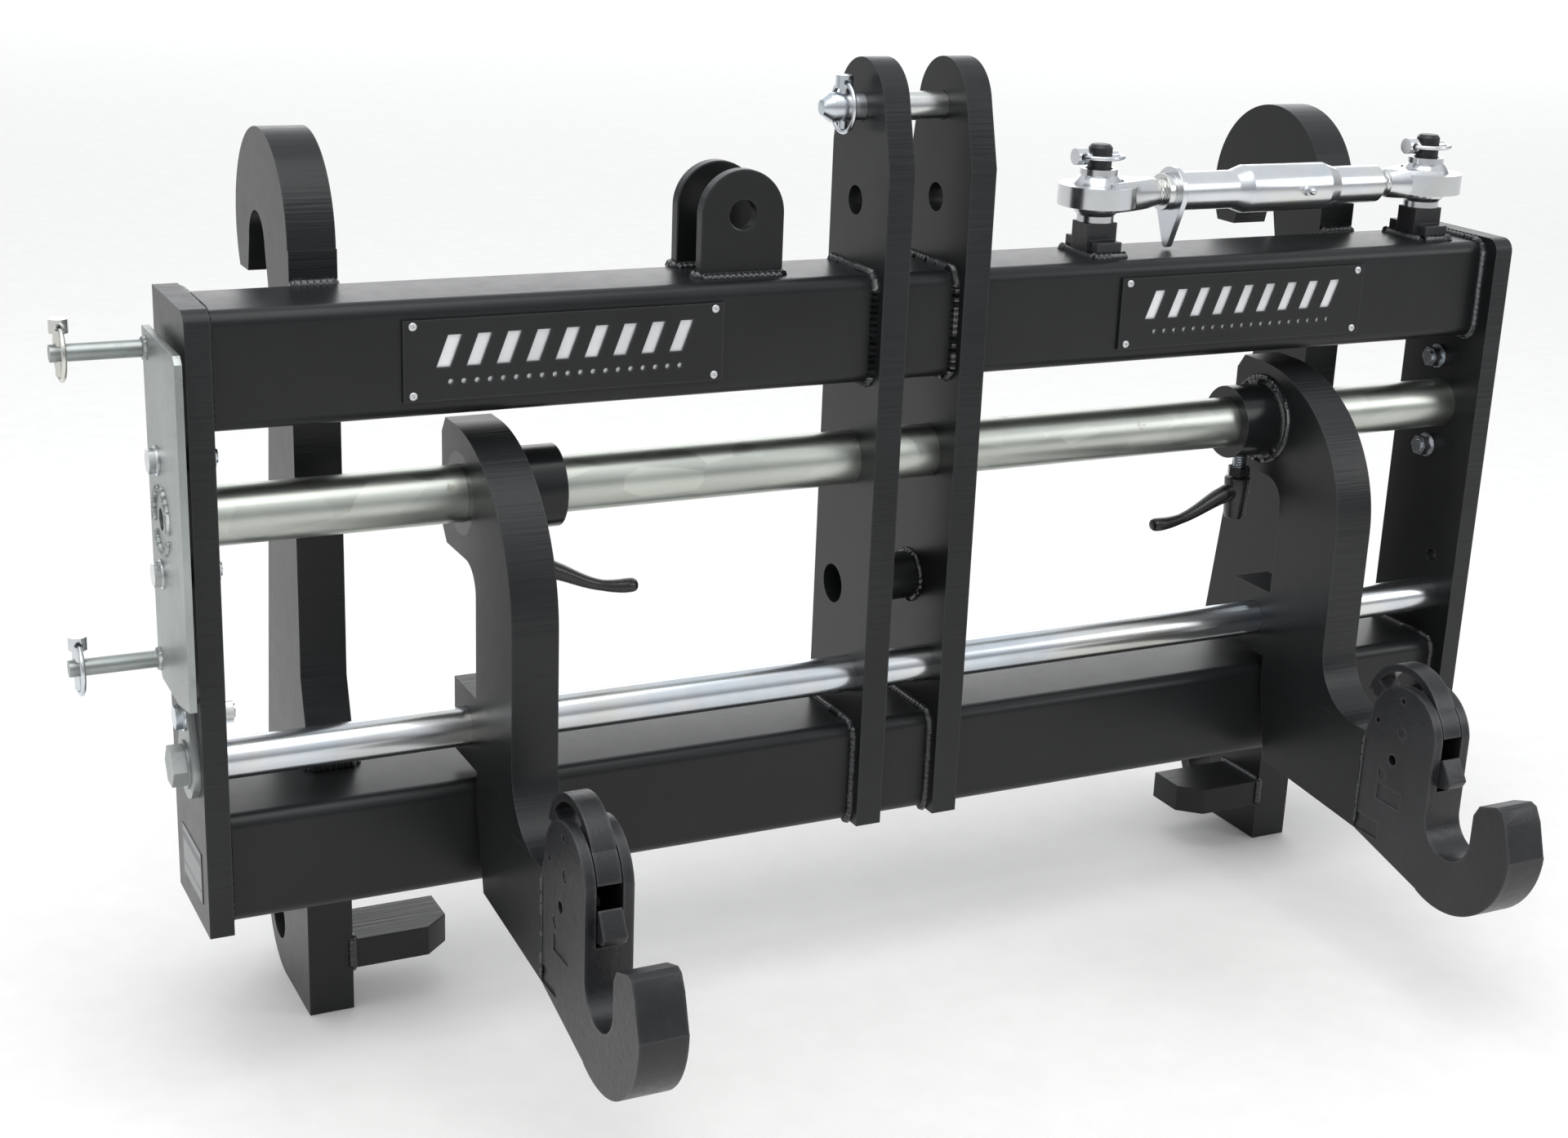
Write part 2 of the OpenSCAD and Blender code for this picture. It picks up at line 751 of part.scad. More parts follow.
module arm_outline() {
    bend_y = arm_front + arm_bend_r;
    bend_z = arm_top - arm_bend_r;
    difference() {
        union() {
            // head: an arc at the front, a square back with one cut corner
            intersection() {
                translate([bend_y, bend_z]) circle(arm_bend_r, $fn = 160);
                translate([arm_front, bend_z]) square([arm_bend_r, arm_bend_r]);
            }
            polygon([
                [bend_y - 40, arm_head_low], [arm_head_back - 11, arm_head_low],
                [arm_head_back, arm_head_low + 13], [arm_head_back, arm_top - 14],
                [arm_head_back - 10, arm_top], [bend_y - 1, arm_top],
            ]);
            // column, its foot leaning forward, and the neck to the hook
            polygon([
                [arm_front, neck_top - 1], [hook_seam_y, neck_top], [hook_seam_y, -11],
                [arm_back - 17, 2], [arm_back, neck_top - 8], [arm_back, bend_z - 20],
                [bend_y - 30, arm_head_low + 10], [arm_front + 12, bend_z + 40],
                [arm_front, bend_z + 1],
            ]);
            // lobe round the lower rail
            translate([arm_front + 1, lower_rail_z - lobe_h])
                square([lobe_back - arm_front - 1, 2 * lobe_h]);
            // fillet over the neck
            difference() {
                translate([arm_front - neck_r, neck_top]) square([neck_r + 1, neck_r]);
                translate([arm_front - neck_r, neck_top + neck_r]) circle(neck_r, $fn = 96);
            }
        }
        // waist between head and lobe, behind the column
        waist_low = lower_rail_z + lobe_h;
        translate([arm_back + 25, arm_head_low - 25]) circle(25);
        translate([arm_back, waist_low + 12]) square([far, arm_head_low - 25 - waist_low - 12]);
        translate([arm_back + 25, arm_head_low - 30]) square([far, 30]);
        translate([arm_back + 12, waist_low + 12]) circle(12);
        translate([arm_back + 12, waist_low]) square([far, 30]);
        // foot below the lobe, in front of the bottom beam
        translate([arm_back, neck_top]) square([far, lower_rail_z - lobe_h - neck_top]);
    }
}

module arm_plate(side) {
    color("#2d2f30") at_arm(side) across(arm_t) difference() {
        arm_outline();
        translate([upper_rail_y, upper_rail_z]) circle(d = collar_d + 2 * weld_gap);
        translate([lower_rail_y, lower_rail_z]) circle(d = lower_rail_d + 2 * slide_fit);
    }
}

module collar(side) {
    color("#1d1f20") at_arm(side) at_upper_rail() difference() {
        rod_x(-arm_t / 2, arm_t / 2 + collar_out, collar_d);
        rod_x(-far, far, upper_rail_d + 2 * slide_fit);
        translate([clamp_x, 0, -far]) cylinder(h = far, d = clamp_screw_d + 2 * run_fit);
    }
}

module clamp_screw(side) {
    tip_z = upper_rail_z - upper_rail_d / 2 - slide_fit;
    color("#26282a") at_arm(side) translate([clamp_x, upper_rail_y, 0]) {
        translate([0, 0, collar_low - 45]) cylinder(h = tip_z - collar_low + 45, d = clamp_screw_d);
        translate([0, 0, collar_low - 20]) cylinder(h = 8, d = clamp_screw_d * 1.9, $fn = 6);
    }
}

module clamp_handle(side) {
    hub_top = collar_low - 22;
    hub_h = 42;
    color("#16181a") at_arm(side) translate([clamp_x, upper_rail_y, 0]) difference() {
        union() {
            translate([0, 0, hub_top - hub_h]) cylinder(h = hub_h, d1 = 20, d2 = 25);
            hull() {
                translate([6, 0, hub_top - 16]) sphere(9, $fn = 24);
                translate([38, 0, hub_top - 32]) sphere(7, $fn = 24);
            }
            hull() {
                translate([38, 0, hub_top - 32]) sphere(7, $fn = 24);
                translate([lever_reach - 9, 0, hub_top - 42]) sphere(5, $fn = 24);
            }
            translate([lever_reach - 7, 0, hub_top - 40]) sphere(7, $fn = 24);
        }
        translate([0, 0, collar_low - 45 - run_fit])
            cylinder(h = far, d = clamp_screw_d + 2 * run_fit);
    }
}

// ---- hooks -----------------------------------------------------------------------------------

module hook_outline() {
    difference() {
        union() {
            translate([dome_y, dome_z]) circle(dome_r);
            polygon([
                [ball_y - 1, ball_z], [ball_y - 1, ball_z - hook_r + 3],
                [ball_y + 20, ball_z - hook_r + 4], [hook_seam_y, -11], [hook_seam_y, neck_top],
                [dome_y + dome_r, dome_z], [jaw_back, dome_z],
            ]);
            // bowl under the jaw
            intersection() {
                translate([ball_y, ball_z]) circle(hook_r, $fn = 128);
                translate([ball_y - far, ball_z - far]) square([far + 30, far]);
            }
            // tip in front of the jaw
            polygon([
                [ball_y - hook_r, ball_z - 2], [jaw_front + 1, ball_z - 2], [jaw_front, ball_z + 26],
                [jaw_front - 6, ball_z + 37], [jaw_front - 26, ball_z + 44],
                [jaw_front - 33, ball_z + 42], [jaw_front - 40, ball_z + 30],
            ]);
        }
        translate([ball_y, ball_z]) circle(jaw_w / 2, $fn = 96);
        translate([jaw_front, ball_z]) square([jaw_w, far]);
    }
}

// The room for the latch and its lever, open at the front and the top
module slot_outline() {
    polygon([
        [jaw_back - 10, latch_z + 6], [latch_y - 19, latch_z + 6], [latch_y - 14, latch_z - 11],
        [latch_y + 12, latch_z - 11], [latch_y + 18, latch_z + 5], [latch_y + 18, dome_z - 3],
        [dome_y + dome_r - 4, dome_z], [dome_y + dome_r + 6, dome_z],
        [dome_y + dome_r + 6, dome_z + far], [jaw_back - 10, dome_z + far],
    ]);
}

// Small holes through the cheeks: outline place and diameter
cheek_holes = [[4, 30, 5], [34, 1, 5], [9, -30, 10]];

module hook(side) {
    color("#26282a") at_arm(side) difference() {
        across(arm_t) difference() {
            hook_outline();
            for (h = cheek_holes) translate([dome_y + h[0], dome_z + h[1]]) circle(d = h[2]);
            translate([latch_y, latch_z]) circle(d = latch_pin_d + 2 * weld_gap);
            translate([dome_y, dome_z]) circle(d = latch_pin_d + 2 * weld_gap);
        }
        across(latch_slot) slot_outline();
        // shallow panels on the outer faces
        for (s = [-1, 1]) translate([s * arm_t / 2, 0, 0]) across(3) {
            translate([dome_y + 34, -2]) square([34, 16], center = true);
            translate([dome_y + 8, dome_z - 66]) square([32, 15], center = true);
        }
    }
}

// Rest: the nose stands in the jaw. It lifts into the slot about its pin
module latch(side) {
    color("#3a3d40") at_arm(side) across(latch_w) difference() {
        union() {
            translate([latch_y, latch_z]) circle(9);
            polygon([
                [latch_y, latch_z + 9], [latch_y - 22, latch_z + 16], [latch_y - 47, latch_z + 17],
                [latch_y - 58, latch_z + 34], [latch_y - 65, latch_z + 38],
                [latch_y - 78, latch_z + 19], [latch_y - 74, latch_z + 12],
                [latch_y - 60, latch_z + 9], [latch_y - 20, latch_z + 8], [latch_y - 4, latch_z - 8],
            ]);
        }
        translate([latch_y, latch_z]) circle(d = latch_pin_d + 2 * run_fit);
    }
}

// A wedge outline from the lever pin, between two angles
module lever_wedge(a0, a1, r) {
    translate([dome_y, dome_z]) polygon([[0, 0], [r * cos(a0), r * sin(a0)], [r * cos(a1), r * sin(a1)]]);
}

module release_lever(side) {
    loop_y = dome_y + 14;
    loop_z = dome_z + 9;
    color("#2e3133") at_arm(side) difference() {
        across(latch_w) difference() {
            union() {
                translate([dome_y, dome_z]) circle(9);
                lever_wedge(112, 140, 43);
                lever_wedge(18, 34, 60);
                // crown that rides along the dome
                intersection() {
                    translate([dome_y, dome_z]) difference() {
                        circle(dome_r);
                        circle(dome_r - 8);
                    }
                    lever_wedge(98, 168, far);
                }
                // loop for the release cord
                difference() {
                    translate([loop_y, loop_z]) circle(50);
                    translate([loop_y, loop_z]) circle(43);
                    translate([loop_y - far, loop_z - far]) square([2 * far, far + 12]);
                    translate([dome_y - far, dome_z - far]) square([far - 42, 2 * far]);
                }
            }
            translate([dome_y, dome_z]) circle(d = latch_pin_d + 2 * run_fit);
        }
        // room for the spring beside the hub
        translate([latch_w / 2, 0, 0]) across(12) translate([dome_y, dome_z]) circle(13);
    }
}

// Both pivots and the torsion spring that holds the lever down
module hook_pins(side) {
    color("#b9bec0") at_arm(side) {
        for (p = [[latch_y, latch_z], [dome_y, dome_z]]) translate([0, p[0], p[1]])
            rod_x(-arm_t / 2 + 1, arm_t / 2 - 1, latch_pin_d);
        translate([latch_w / 2 - 3, dome_y, dome_z]) for (i = [-1, 1]) translate([i * 1.3, 0, 0])
            rotate([0, 90, 0]) rotate_extrude() translate([latch_pin_d / 2 + 1.5, 0]) circle(1.2, $fn = 20);
    }
}

module left_arm_plate() arm_plate(-1);

module left_collar() collar(-1);

module left_hook() hook(-1);

module left_latch() latch(-1);

module left_release_lever() release_lever(-1);

module left_hook_pins() hook_pins(-1);

module left_clamp_screw() clamp_screw(-1);

module left_clamp_handle() clamp_handle(-1);

module right_arm_plate() arm_plate(1);

module right_collar() collar(1);

module right_hook() hook(1);

module right_latch() latch(1);

module right_release_lever() release_lever(1);

module right_hook_pins() hook_pins(1);

module right_clamp_screw() clamp_screw(1);

module right_clamp_handle() clamp_handle(1);

top_beam();
bottom_beam();
left_end_plate();
right_end_plate();
left_mast_plate();
right_mast_plate();
mast_tube();
upper_rail();
lower_rail();
left_hitch_bracket();
right_hitch_bracket();
left_stop_block();
right_stop_block();
clevis_lugs();
link_posts();
name_plates();
name_backings();
name_rivets();
type_label();
storage_plate();
storage_pegs();
rack_spacers();
rack_bolts();
frame_nuts();
rail_tab();
rail_end_bolt();
right_rail_cover();
left_link_end();
right_link_end();
left_link_ball();
right_link_ball();
link_tube();
link_lock_plate();
mast_pin();
mast_lynch_pin();
mast_lynch_ring();
post_lynch_pins();
left_post_ring();
right_post_ring();
peg_lynch_pins();
upper_peg_ring();
lower_peg_ring();
left_arm_plate();
left_collar();
left_hook();
left_latch();
left_release_lever();
left_hook_pins();
left_clamp_screw();
left_clamp_handle();
right_arm_plate();
right_collar();
right_hook();
right_latch();
right_release_lever();
right_hook_pins();
right_clamp_screw();
right_clamp_handle();
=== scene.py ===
"""Finishes and trim for a three-point linkage adaptor frame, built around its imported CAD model."""

import json
import math

import bmesh
import bpy
from bpy.props import FloatProperty, FloatVectorProperty, PointerProperty
from mathutils import Matrix, Vector
from mathutils.geometry import interpolate_bezier

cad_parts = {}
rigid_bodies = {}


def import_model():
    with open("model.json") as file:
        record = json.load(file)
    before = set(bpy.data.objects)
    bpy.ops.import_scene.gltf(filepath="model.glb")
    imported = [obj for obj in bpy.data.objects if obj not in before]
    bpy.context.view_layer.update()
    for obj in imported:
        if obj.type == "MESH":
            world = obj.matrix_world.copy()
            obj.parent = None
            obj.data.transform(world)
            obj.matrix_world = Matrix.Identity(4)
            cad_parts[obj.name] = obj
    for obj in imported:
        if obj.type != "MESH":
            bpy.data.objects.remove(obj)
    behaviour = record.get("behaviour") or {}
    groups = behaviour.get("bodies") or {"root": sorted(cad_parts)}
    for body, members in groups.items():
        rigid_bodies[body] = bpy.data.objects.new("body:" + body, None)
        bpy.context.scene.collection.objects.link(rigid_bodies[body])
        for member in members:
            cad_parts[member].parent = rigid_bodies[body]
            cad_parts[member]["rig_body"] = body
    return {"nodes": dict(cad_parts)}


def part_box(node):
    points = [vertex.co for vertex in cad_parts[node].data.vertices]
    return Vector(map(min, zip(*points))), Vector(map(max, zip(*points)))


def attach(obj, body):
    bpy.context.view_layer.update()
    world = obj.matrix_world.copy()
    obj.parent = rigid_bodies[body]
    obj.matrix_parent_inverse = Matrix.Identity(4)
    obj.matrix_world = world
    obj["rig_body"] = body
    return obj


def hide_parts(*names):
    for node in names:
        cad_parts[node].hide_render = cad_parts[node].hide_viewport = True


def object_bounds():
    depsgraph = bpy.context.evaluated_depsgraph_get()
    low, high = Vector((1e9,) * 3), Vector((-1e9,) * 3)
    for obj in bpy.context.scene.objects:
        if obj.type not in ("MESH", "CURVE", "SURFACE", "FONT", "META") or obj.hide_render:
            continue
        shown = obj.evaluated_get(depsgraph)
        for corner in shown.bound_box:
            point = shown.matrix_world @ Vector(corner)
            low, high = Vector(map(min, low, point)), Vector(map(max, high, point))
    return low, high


bl_info = {
    "name": "Linkage adaptor frame finishes",
    "version": (1, 0, 0),
    "blender": (4, 5, 0),
    "location": "3D View > Sidebar > Linkage frame",
    "description": "Paint, zinc, weld beads, threads and levers for a linkage adaptor frame",
    "category": "Object",
}

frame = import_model()
NODES = frame["nodes"]
CAD_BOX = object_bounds()
SIDES = {"left": 1, "right": -1}  # which way along X is towards mid width

# Every soft light: its place, the point it aims at, its width and height, and its power in watts
LIGHTS = {
    "overhead": ((-0.5, -0.9, 3.0), (0.0, 0.0, 0.2), 2.6, 2.6, 48.0),
    "left_side": ((-3.4, -0.6, 1.9), (0.0, 0.0, 0.2), 2.0, 1.6, 16.0),
    "right_side": ((3.0, -2.4, 2.0), (0.2, 0.0, 0.2), 1.6, 1.6, 22.0),
    "behind": ((6.5, 15.0, 4.6), (0.0, 0.0, 0.5), 20.0, 7.0, 700.0),
}
# The camera's own axes, to its right and out of its back
CAMERA_RIGHT = (0.8986, -0.4371, 0.0375)
CAMERA_BACK = (-0.4263, -0.8500, 0.3093)

MERGE_DISTANCE = 0.00001  # CAD triangles closer than this share a vertex
FINE_CORNER = 0.0006  # rounding of small holes and loops
FINE_RUN = 14  # a run of sharp edges is fine below this many roundings across


# ---- shader values ---------------------------------------------------------------------------


class Value:
    """A number on a node's socket. Python's operators on it add Math nodes."""

    def __init__(self, nodes, socket):
        self.nodes, self.socket = nodes, socket

    def _math(self, operation, *terms, clamp=False):
        settings = {"operation": operation, "use_clamp": clamp}
        return self.nodes.node("ShaderNodeMath", settings, dict(enumerate(terms)))[0]

    def __add__(self, other):
        return self._math("ADD", self, other)

    __radd__ = __add__

    def __sub__(self, other):
        return self._math("SUBTRACT", self, other)

    def __rsub__(self, other):
        return self._math("SUBTRACT", other, self)

    def __mul__(self, other):
        return self._math("MULTIPLY", self, other)

    __rmul__ = __mul__

    def __truediv__(self, other):
        return self._math("DIVIDE", self, other)

    def __abs__(self):
        return self._math("ABSOLUTE", self)

    def over(self, edge, width=0.02):
        """0 below the edge and 1 above it, with a soft step of the given width."""
        return self._math("MULTIPLY", self - (edge - width / 2), 1 / width, clamp=True)


class Outputs:
    """A node's outputs, each wrapped as a Value, by name or index."""

    def __init__(self, nodes, node):
        self.nodes, self.outputs = nodes, node.outputs

    def __getitem__(self, key):
        return Value(self.nodes, self.outputs[key])


class Nodes:
    """A node tree. Its node method adds one node and returns its outputs."""

    def __init__(self, tree):
        self.tree = tree

    def node(self, kind, settings=None, inputs=None, stops=None):
        made = self.tree.nodes.new(kind)
        for key, value in (settings or {}).items():
            setattr(made, key, value)
        if stops:
            ramp = made.color_ramp
            while len(ramp.elements) < len(stops):
                ramp.elements.new(1.0)
            for element, (position, colour) in zip(ramp.elements, stops):
                element.position = position
                element.color = (*colour, 1.0)
        for key, value in (inputs or {}).items():
            self.join(value, made.inputs[key])
        return Outputs(self, made)

    def join(self, value, socket):
        if isinstance(value, Value):
            self.tree.links.new(value.socket, socket)
        else:
            socket.default_value = value

    def ramp(self, value, *stops):
        return self.node("ShaderNodeValToRGB", None, {"Fac": value}, stops)[0]

    def split(self, vector):
        """A vector's X, Y and Z."""
        parts = self.node("ShaderNodeSeparateXYZ", None, {0: vector})
        return parts[0], parts[1], parts[2]


class Finish(Nodes):
    """One procedural material on the object's own coordinates."""

    def __init__(self, name, colour, roughness, metallic=0.0, gloss=0.5):
        self.material = bpy.data.materials.new(name)
        self.material.use_nodes = True
        super().__init__(self.material.node_tree)
        self.shader = self.tree.nodes["Principled BSDF"]
        self.feed(base_color=(*colour, 1.0), roughness=roughness, metallic=metallic)
        self.shader.inputs["Specular IOR Level"].default_value = gloss
        self.place = self.node("ShaderNodeTexCoord")["Object"]

    def feed(self, **sockets):
        for key, value in sockets.items():
            self.join(value, self.shader.inputs[key.replace("_", " ").title()])

    def stretched(self, x=1.0, y=1.0, z=1.0):
        """The object's own coordinates, scaled along each axis."""
        inputs = {"Vector": self.place, "Scale": (x, y, z)}
        return self.node("ShaderNodeMapping", None, inputs)["Vector"]

    def noise(self, scale, detail=3.0, rough=0.55, at=None, distortion=0.0):
        inputs = {
            "Vector": at or self.place,
            "Scale": scale,
            "Detail": detail,
            "Roughness": rough,
            "Distortion": distortion,
        }
        return self.node("ShaderNodeTexNoise", None, inputs)[0]

    def cells(self, scale, at=None):
        inputs = {"Vector": at or self.place, "Scale": scale}
        return self.node("ShaderNodeTexVoronoi", None, inputs)

    def mix(self, factor, a, b):
        a = a if isinstance(a, Value) else (*a, 1.0)
        b = b if isinstance(b, Value) else (*b, 1.0)
        settings = {"data_type": "RGBA"}
        return self.node("ShaderNodeMix", settings, {0: factor, 6: a, 7: b})[2]

    def facing(self, axis):
        """How far the surface faces along an axis, from 0 to 1."""
        normal = self.node("ShaderNodeNewGeometry")["Normal"]
        return abs(self.split(normal)["XYZ".index(axis)])

    def bump(self, height, strength, distance, under=None):
        inputs = {"Height": height, "Strength": strength, "Distance": distance}
        if under:
            inputs["Normal"] = under
        return self.node("ShaderNodeBump", None, inputs)["Normal"]

    def edge_mask(self, radius):
        """1 along edges, where the finishes lay wear and the black paint also a painted edge
        highlight, 0 on flats.
        """
        soft = self.node("ShaderNodeBevel", {"samples": 4}, {"Radius": radius})[0]
        true = self.node("ShaderNodeNewGeometry")["Normal"]
        settings = {"operation": "DOT_PRODUCT"}
        dot = self.node("ShaderNodeVectorMath", settings, {0: soft, 1: true})["Value"]
        return (1 - dot).over(0.06, 0.08)


# ---- finishes --------------------------------------------------------------------------------


def toned(colour, factor, lift=0.0):
    """A colour made darker or lighter."""
    return [min(1.0, c * factor + lift) for c in colour]


def black_paint(name, sizes, cut_axis=None, shine=0.0):
    """Black powder coat, lighter along its edges with wear and a painted edge highlight. cut_axis
    marks plates whose cut edges show drag lines along it, with a painted highlight on their ridges.
    """
    finish = Finish(name, sizes.paint, sizes.paint_roughness, gloss=sizes.paint_gloss)
    clouds = finish.noise(5.0, 4.0, 0.6)
    dust = finish.noise(60.0, 6.0, 0.7)
    peel = finish.noise(420.0, 2.0, 0.5)
    edge = finish.edge_mask(0.0025)
    colour = finish.ramp(clouds, (0.3, toned(sizes.paint, 0.75)), (0.7, toned(sizes.paint, 1.35)))
    # Lighter edge colour: partly worn paint, partly a painted highlight along the edges
    wear_and_edge_highlight = toned(sizes.paint, 3.0, 0.025)
    rough = clouds * 0.10 + dust * 0.12 + (sizes.paint_roughness - 0.11 - shine)
    normal = finish.bump(peel, 0.10, 0.0004)
    if cut_axis:
        scale = {axis.lower(): 0.03 if axis == cut_axis else 1.0 for axis in "XYZ"}
        lines = finish.noise(230.0, 2.0, 0.6, at=finish.stretched(**scale))
        patches = finish.noise(9.0, 2.0, 0.5).over(0.5, 0.25) * 0.75 + 0.25
        cut = (1 - finish.facing(cut_axis)).over(0.5, 0.2) * patches
        rough = rough + cut * lines * 0.10
        # The drag lines' ridges are painted lighter as well as bumped: a painted highlight on the
        # cut edges
        colour = finish.mix(cut * lines * 0.6, colour, toned(sizes.paint, 2.6))
        normal = finish.bump(lines * cut, 0.45, 0.0018, normal)
    # Edges take the lighter colour, which is wear and a painted edge highlight together
    base = finish.mix(edge * dust * 0.9, colour, wear_and_edge_highlight)
    finish.feed(base_color=base, roughness=rough, normal=normal)
    return finish.material


def weld_skin(name, sizes):
    """Glossy paint that has run over a rippled weld."""
    finish = Finish(name, sizes.paint, 0.2, gloss=0.7)
    runs = finish.noise(130.0, 4.0, 0.6)
    drops = finish.noise(420.0, 3.0, 0.6)
    edge = finish.edge_mask(0.0015)
    colour = finish.ramp(runs, (0.35, toned(sizes.paint, 0.9)), (0.7, toned(sizes.paint, 2.2)))
    finish.feed(
        base_color=finish.mix(edge * runs * 0.6, colour, (0.20, 0.20, 0.20)),
        roughness=runs * 0.16 + drops * 0.08 + 0.08,
        normal=finish.bump(runs + drops * 0.3, 0.5, 0.0012),
    )
    return finish.material


def forged_black(name, sizes):
    """The scaled, satin black skin of a drop forging."""
    finish = Finish(name, sizes.forging, 0.5, gloss=sizes.paint_gloss + 0.1)
    clouds = finish.noise(14.0, 5.0, 0.6)
    skin = finish.noise(150.0, 5.0, 0.62)
    pits = finish.cells(260.0)["Distance"]
    edge = finish.edge_mask(0.004)
    low, high = toned(sizes.forging, 0.7), toned(sizes.forging, 1.5, 0.003)
    colour = finish.ramp(clouds, (0.3, low), (0.72, high))
    finish.feed(
        base_color=finish.mix(edge * skin * 0.9, colour, (0.11, 0.11, 0.115)),
        roughness=skin * 0.22 + clouds * 0.1 + 0.20,
        metallic=edge * 0.3,
        normal=finish.bump(skin + pits * 0.25, 0.30, 0.0010),
    )
    return finish.material


def galvanised(name, sizes):
    """Zinc on a drawn tube: soft spangle, draw lines along it and a few stains."""
    finish = Finish(name, sizes.zinc, 0.3, 1.0)
    tone = finish.split(finish.cells(42.0, finish.stretched(x=0.5))["Color"])[0]
    lines = finish.noise(260.0, 3.0, 0.6, at=finish.stretched(x=0.015))
    clouds = finish.noise(7.0, 5.0, 0.6, at=finish.stretched(x=0.5))
    stain = finish.noise(24.0, 6.0, 0.72).over(0.67, 0.06)
    low, high = toned(sizes.zinc, 0.82), toned(sizes.zinc, 1.14)
    colour = finish.ramp(tone * 0.3 + clouds * 0.7, (0.3, low), (0.75, high))
    finish.feed(
        base_color=finish.mix(stain * 0.5, colour, (0.26, 0.22, 0.16)),
        roughness=tone * 0.05 + clouds * 0.14 + stain * 0.2 + 0.24,
        normal=finish.bump(lines, 0.10, 0.0006),
    )
    return finish.material


def dull_zinc(name, sizes):
    """Dull blue-grey zinc on flat steel, with faint clouds and roll lines."""
    finish = Finish(name, sizes.dull, 0.4, 1.0)
    clouds = finish.noise(11.0, 5.0, 0.6)
    lines = finish.noise(240.0, 3.0, 0.6, at=finish.stretched(z=0.02))
    scuff = finish.noise(70.0, 6.0, 0.7)
    low, high = toned(sizes.dull, 0.8), toned(sizes.dull, 1.2)
    colour = finish.ramp(clouds, (0.3, low), (0.72, high))
    finish.feed(
        base_color=finish.mix(scuff.over(0.64, 0.1) * 0.5, colour, toned(sizes.dull, 0.55)),
        roughness=clouds * 0.16 + scuff * 0.12 + 0.26,
        normal=finish.bump(lines + scuff * 0.3, 0.08, 0.0005),
    )
    return finish.material


def bright_zinc(name, sizes, drawn=None):
    """Bright zinc plate, with a faint warm and cool cast; drawn is the axis of draw lines."""
    finish = Finish(name, sizes.bright, 0.22, 1.0)
    clouds = finish.noise(14.0, 4.0, 0.6)
    cast = finish.noise(5.5, 3.0, 0.5, distortion=1.5)
    speck = finish.noise(180.0, 3.0, 0.55)
    cool = [c * t for c, t in zip(sizes.bright, (0.88, 0.95, 1.0))]
    warm = [c * t for c, t in zip(sizes.bright, (1.0, 0.97, 0.86))]
    tint = finish.ramp(cast, (0.35, cool), (0.5, sizes.bright), (0.68, warm))
    height, rough = speck, clouds * 0.16 + speck * 0.08 + 0.12
    if drawn:
        lines = finish.noise(300.0, 3.0, 0.6, at=finish.stretched(**{drawn.lower(): 0.015}))
        height, rough = lines, clouds * 0.10 + lines * 0.08 + 0.14
    finish.feed(
        base_color=finish.mix(clouds.over(0.56, 0.3) * 0.5, tint, toned(sizes.bright, 0.74)),
        roughness=rough,
        normal=finish.bump(height, 0.06, 0.0005),
    )
    return finish.material


def ground_steel(name, sizes):
    """Ground bare steel with fine circular marks."""
    finish = Finish(name, toned(sizes.bright, 0.8), 0.24, 1.0)
    marks = finish.noise(520.0, 2.0, 0.5, at=finish.stretched(x=0.2, y=0.2))
    clouds = finish.noise(30.0, 4.0, 0.6)
    low, high = toned(sizes.bright, 0.62), toned(sizes.bright, 0.9)
    finish.feed(
        base_color=finish.ramp(clouds, (0.3, low), (0.7, high)),
        roughness=marks * 0.12 + clouds * 0.08 + 0.12,
        normal=finish.bump(marks, 0.08, 0.0005),
    )
    return finish.material


def moulded_black(name, sizes):
    """Fine-grained black plastic on a clamp lever."""
    finish = Finish(name, sizes.moulding, 0.32)
    grain = finish.cells(900.0)["Distance"]
    clouds = finish.noise(40.0, 3.0, 0.5)
    low, high = toned(sizes.moulding, 0.7), toned(sizes.moulding, 1.7)
    finish.feed(
        base_color=finish.ramp(clouds, (0.3, low), (0.7, high)),
        roughness=clouds * 0.12 + grain * 0.1 + 0.16,
        normal=finish.bump(grain, 0.12, 0.0004),
    )
    return finish.material


def satin_backing(name):
    """Brushed steel that shows through the cut-outs of a name plate."""
    finish = Finish(name, (0.78, 0.79, 0.8), 0.32, 0.45)
    lines = finish.noise(700.0, 3.0, 0.6, at=finish.stretched(x=0.02))
    clouds = finish.noise(9.0, 3.0, 0.5)
    finish.feed(
        base_color=finish.ramp(clouds, (0.3, (0.60, 0.61, 0.62)), (0.7, (0.86, 0.87, 0.88))),
        roughness=lines * 0.2 + 0.25,
        normal=finish.bump(lines, 0.15, 0.0004),
    )
    return finish.material


def foil_label(name):
    """A blank foil label with a darker border and two plain bands."""
    finish = Finish(name, (0.42, 0.43, 0.44), 0.35, 0.4)
    y, z = finish.split(finish.place)[1:]
    low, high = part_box("type_label")
    middle, half = (low + high) / 2, (high - low) / 2
    across = abs(y - middle.y) / half.y
    rise = (z - low.z) / (half.z * 2)
    border = across.over(0.93, 0.02)
    upper = rise.over(0.72, 0.02) * (1 - rise.over(0.88, 0.02))
    lower = rise.over(0.2, 0.02) * (1 - rise.over(0.26, 0.02))
    scuff = finish.noise(80.0, 5.0, 0.7)
    plain = finish.ramp(scuff, (0.3, (0.16, 0.165, 0.17)), (0.7, (0.27, 0.275, 0.28)))
    finish.feed(
        base_color=finish.mix((border + upper + lower).over(0.5, 0.2), plain, (0.07, 0.07, 0.08)),
        roughness=scuff * 0.3 + 0.2,
        normal=finish.bump(scuff, 0.08, 0.0003),
    )
    return finish.material


def pale_floor(name):
    """Plain pale studio floor."""
    finish = Finish(name, (0.84, 0.83, 0.81), 0.7)
    grain = finish.noise(30.0, 4.0, 0.5)
    finish.feed(
        base_color=finish.ramp(grain, (0.3, (0.83, 0.82, 0.80)), (0.7, (0.86, 0.85, 0.83))),
        roughness=grain * 0.1 + 0.65,
    )
    return finish.material


# ---- mesh helpers ----------------------------------------------------------------------------


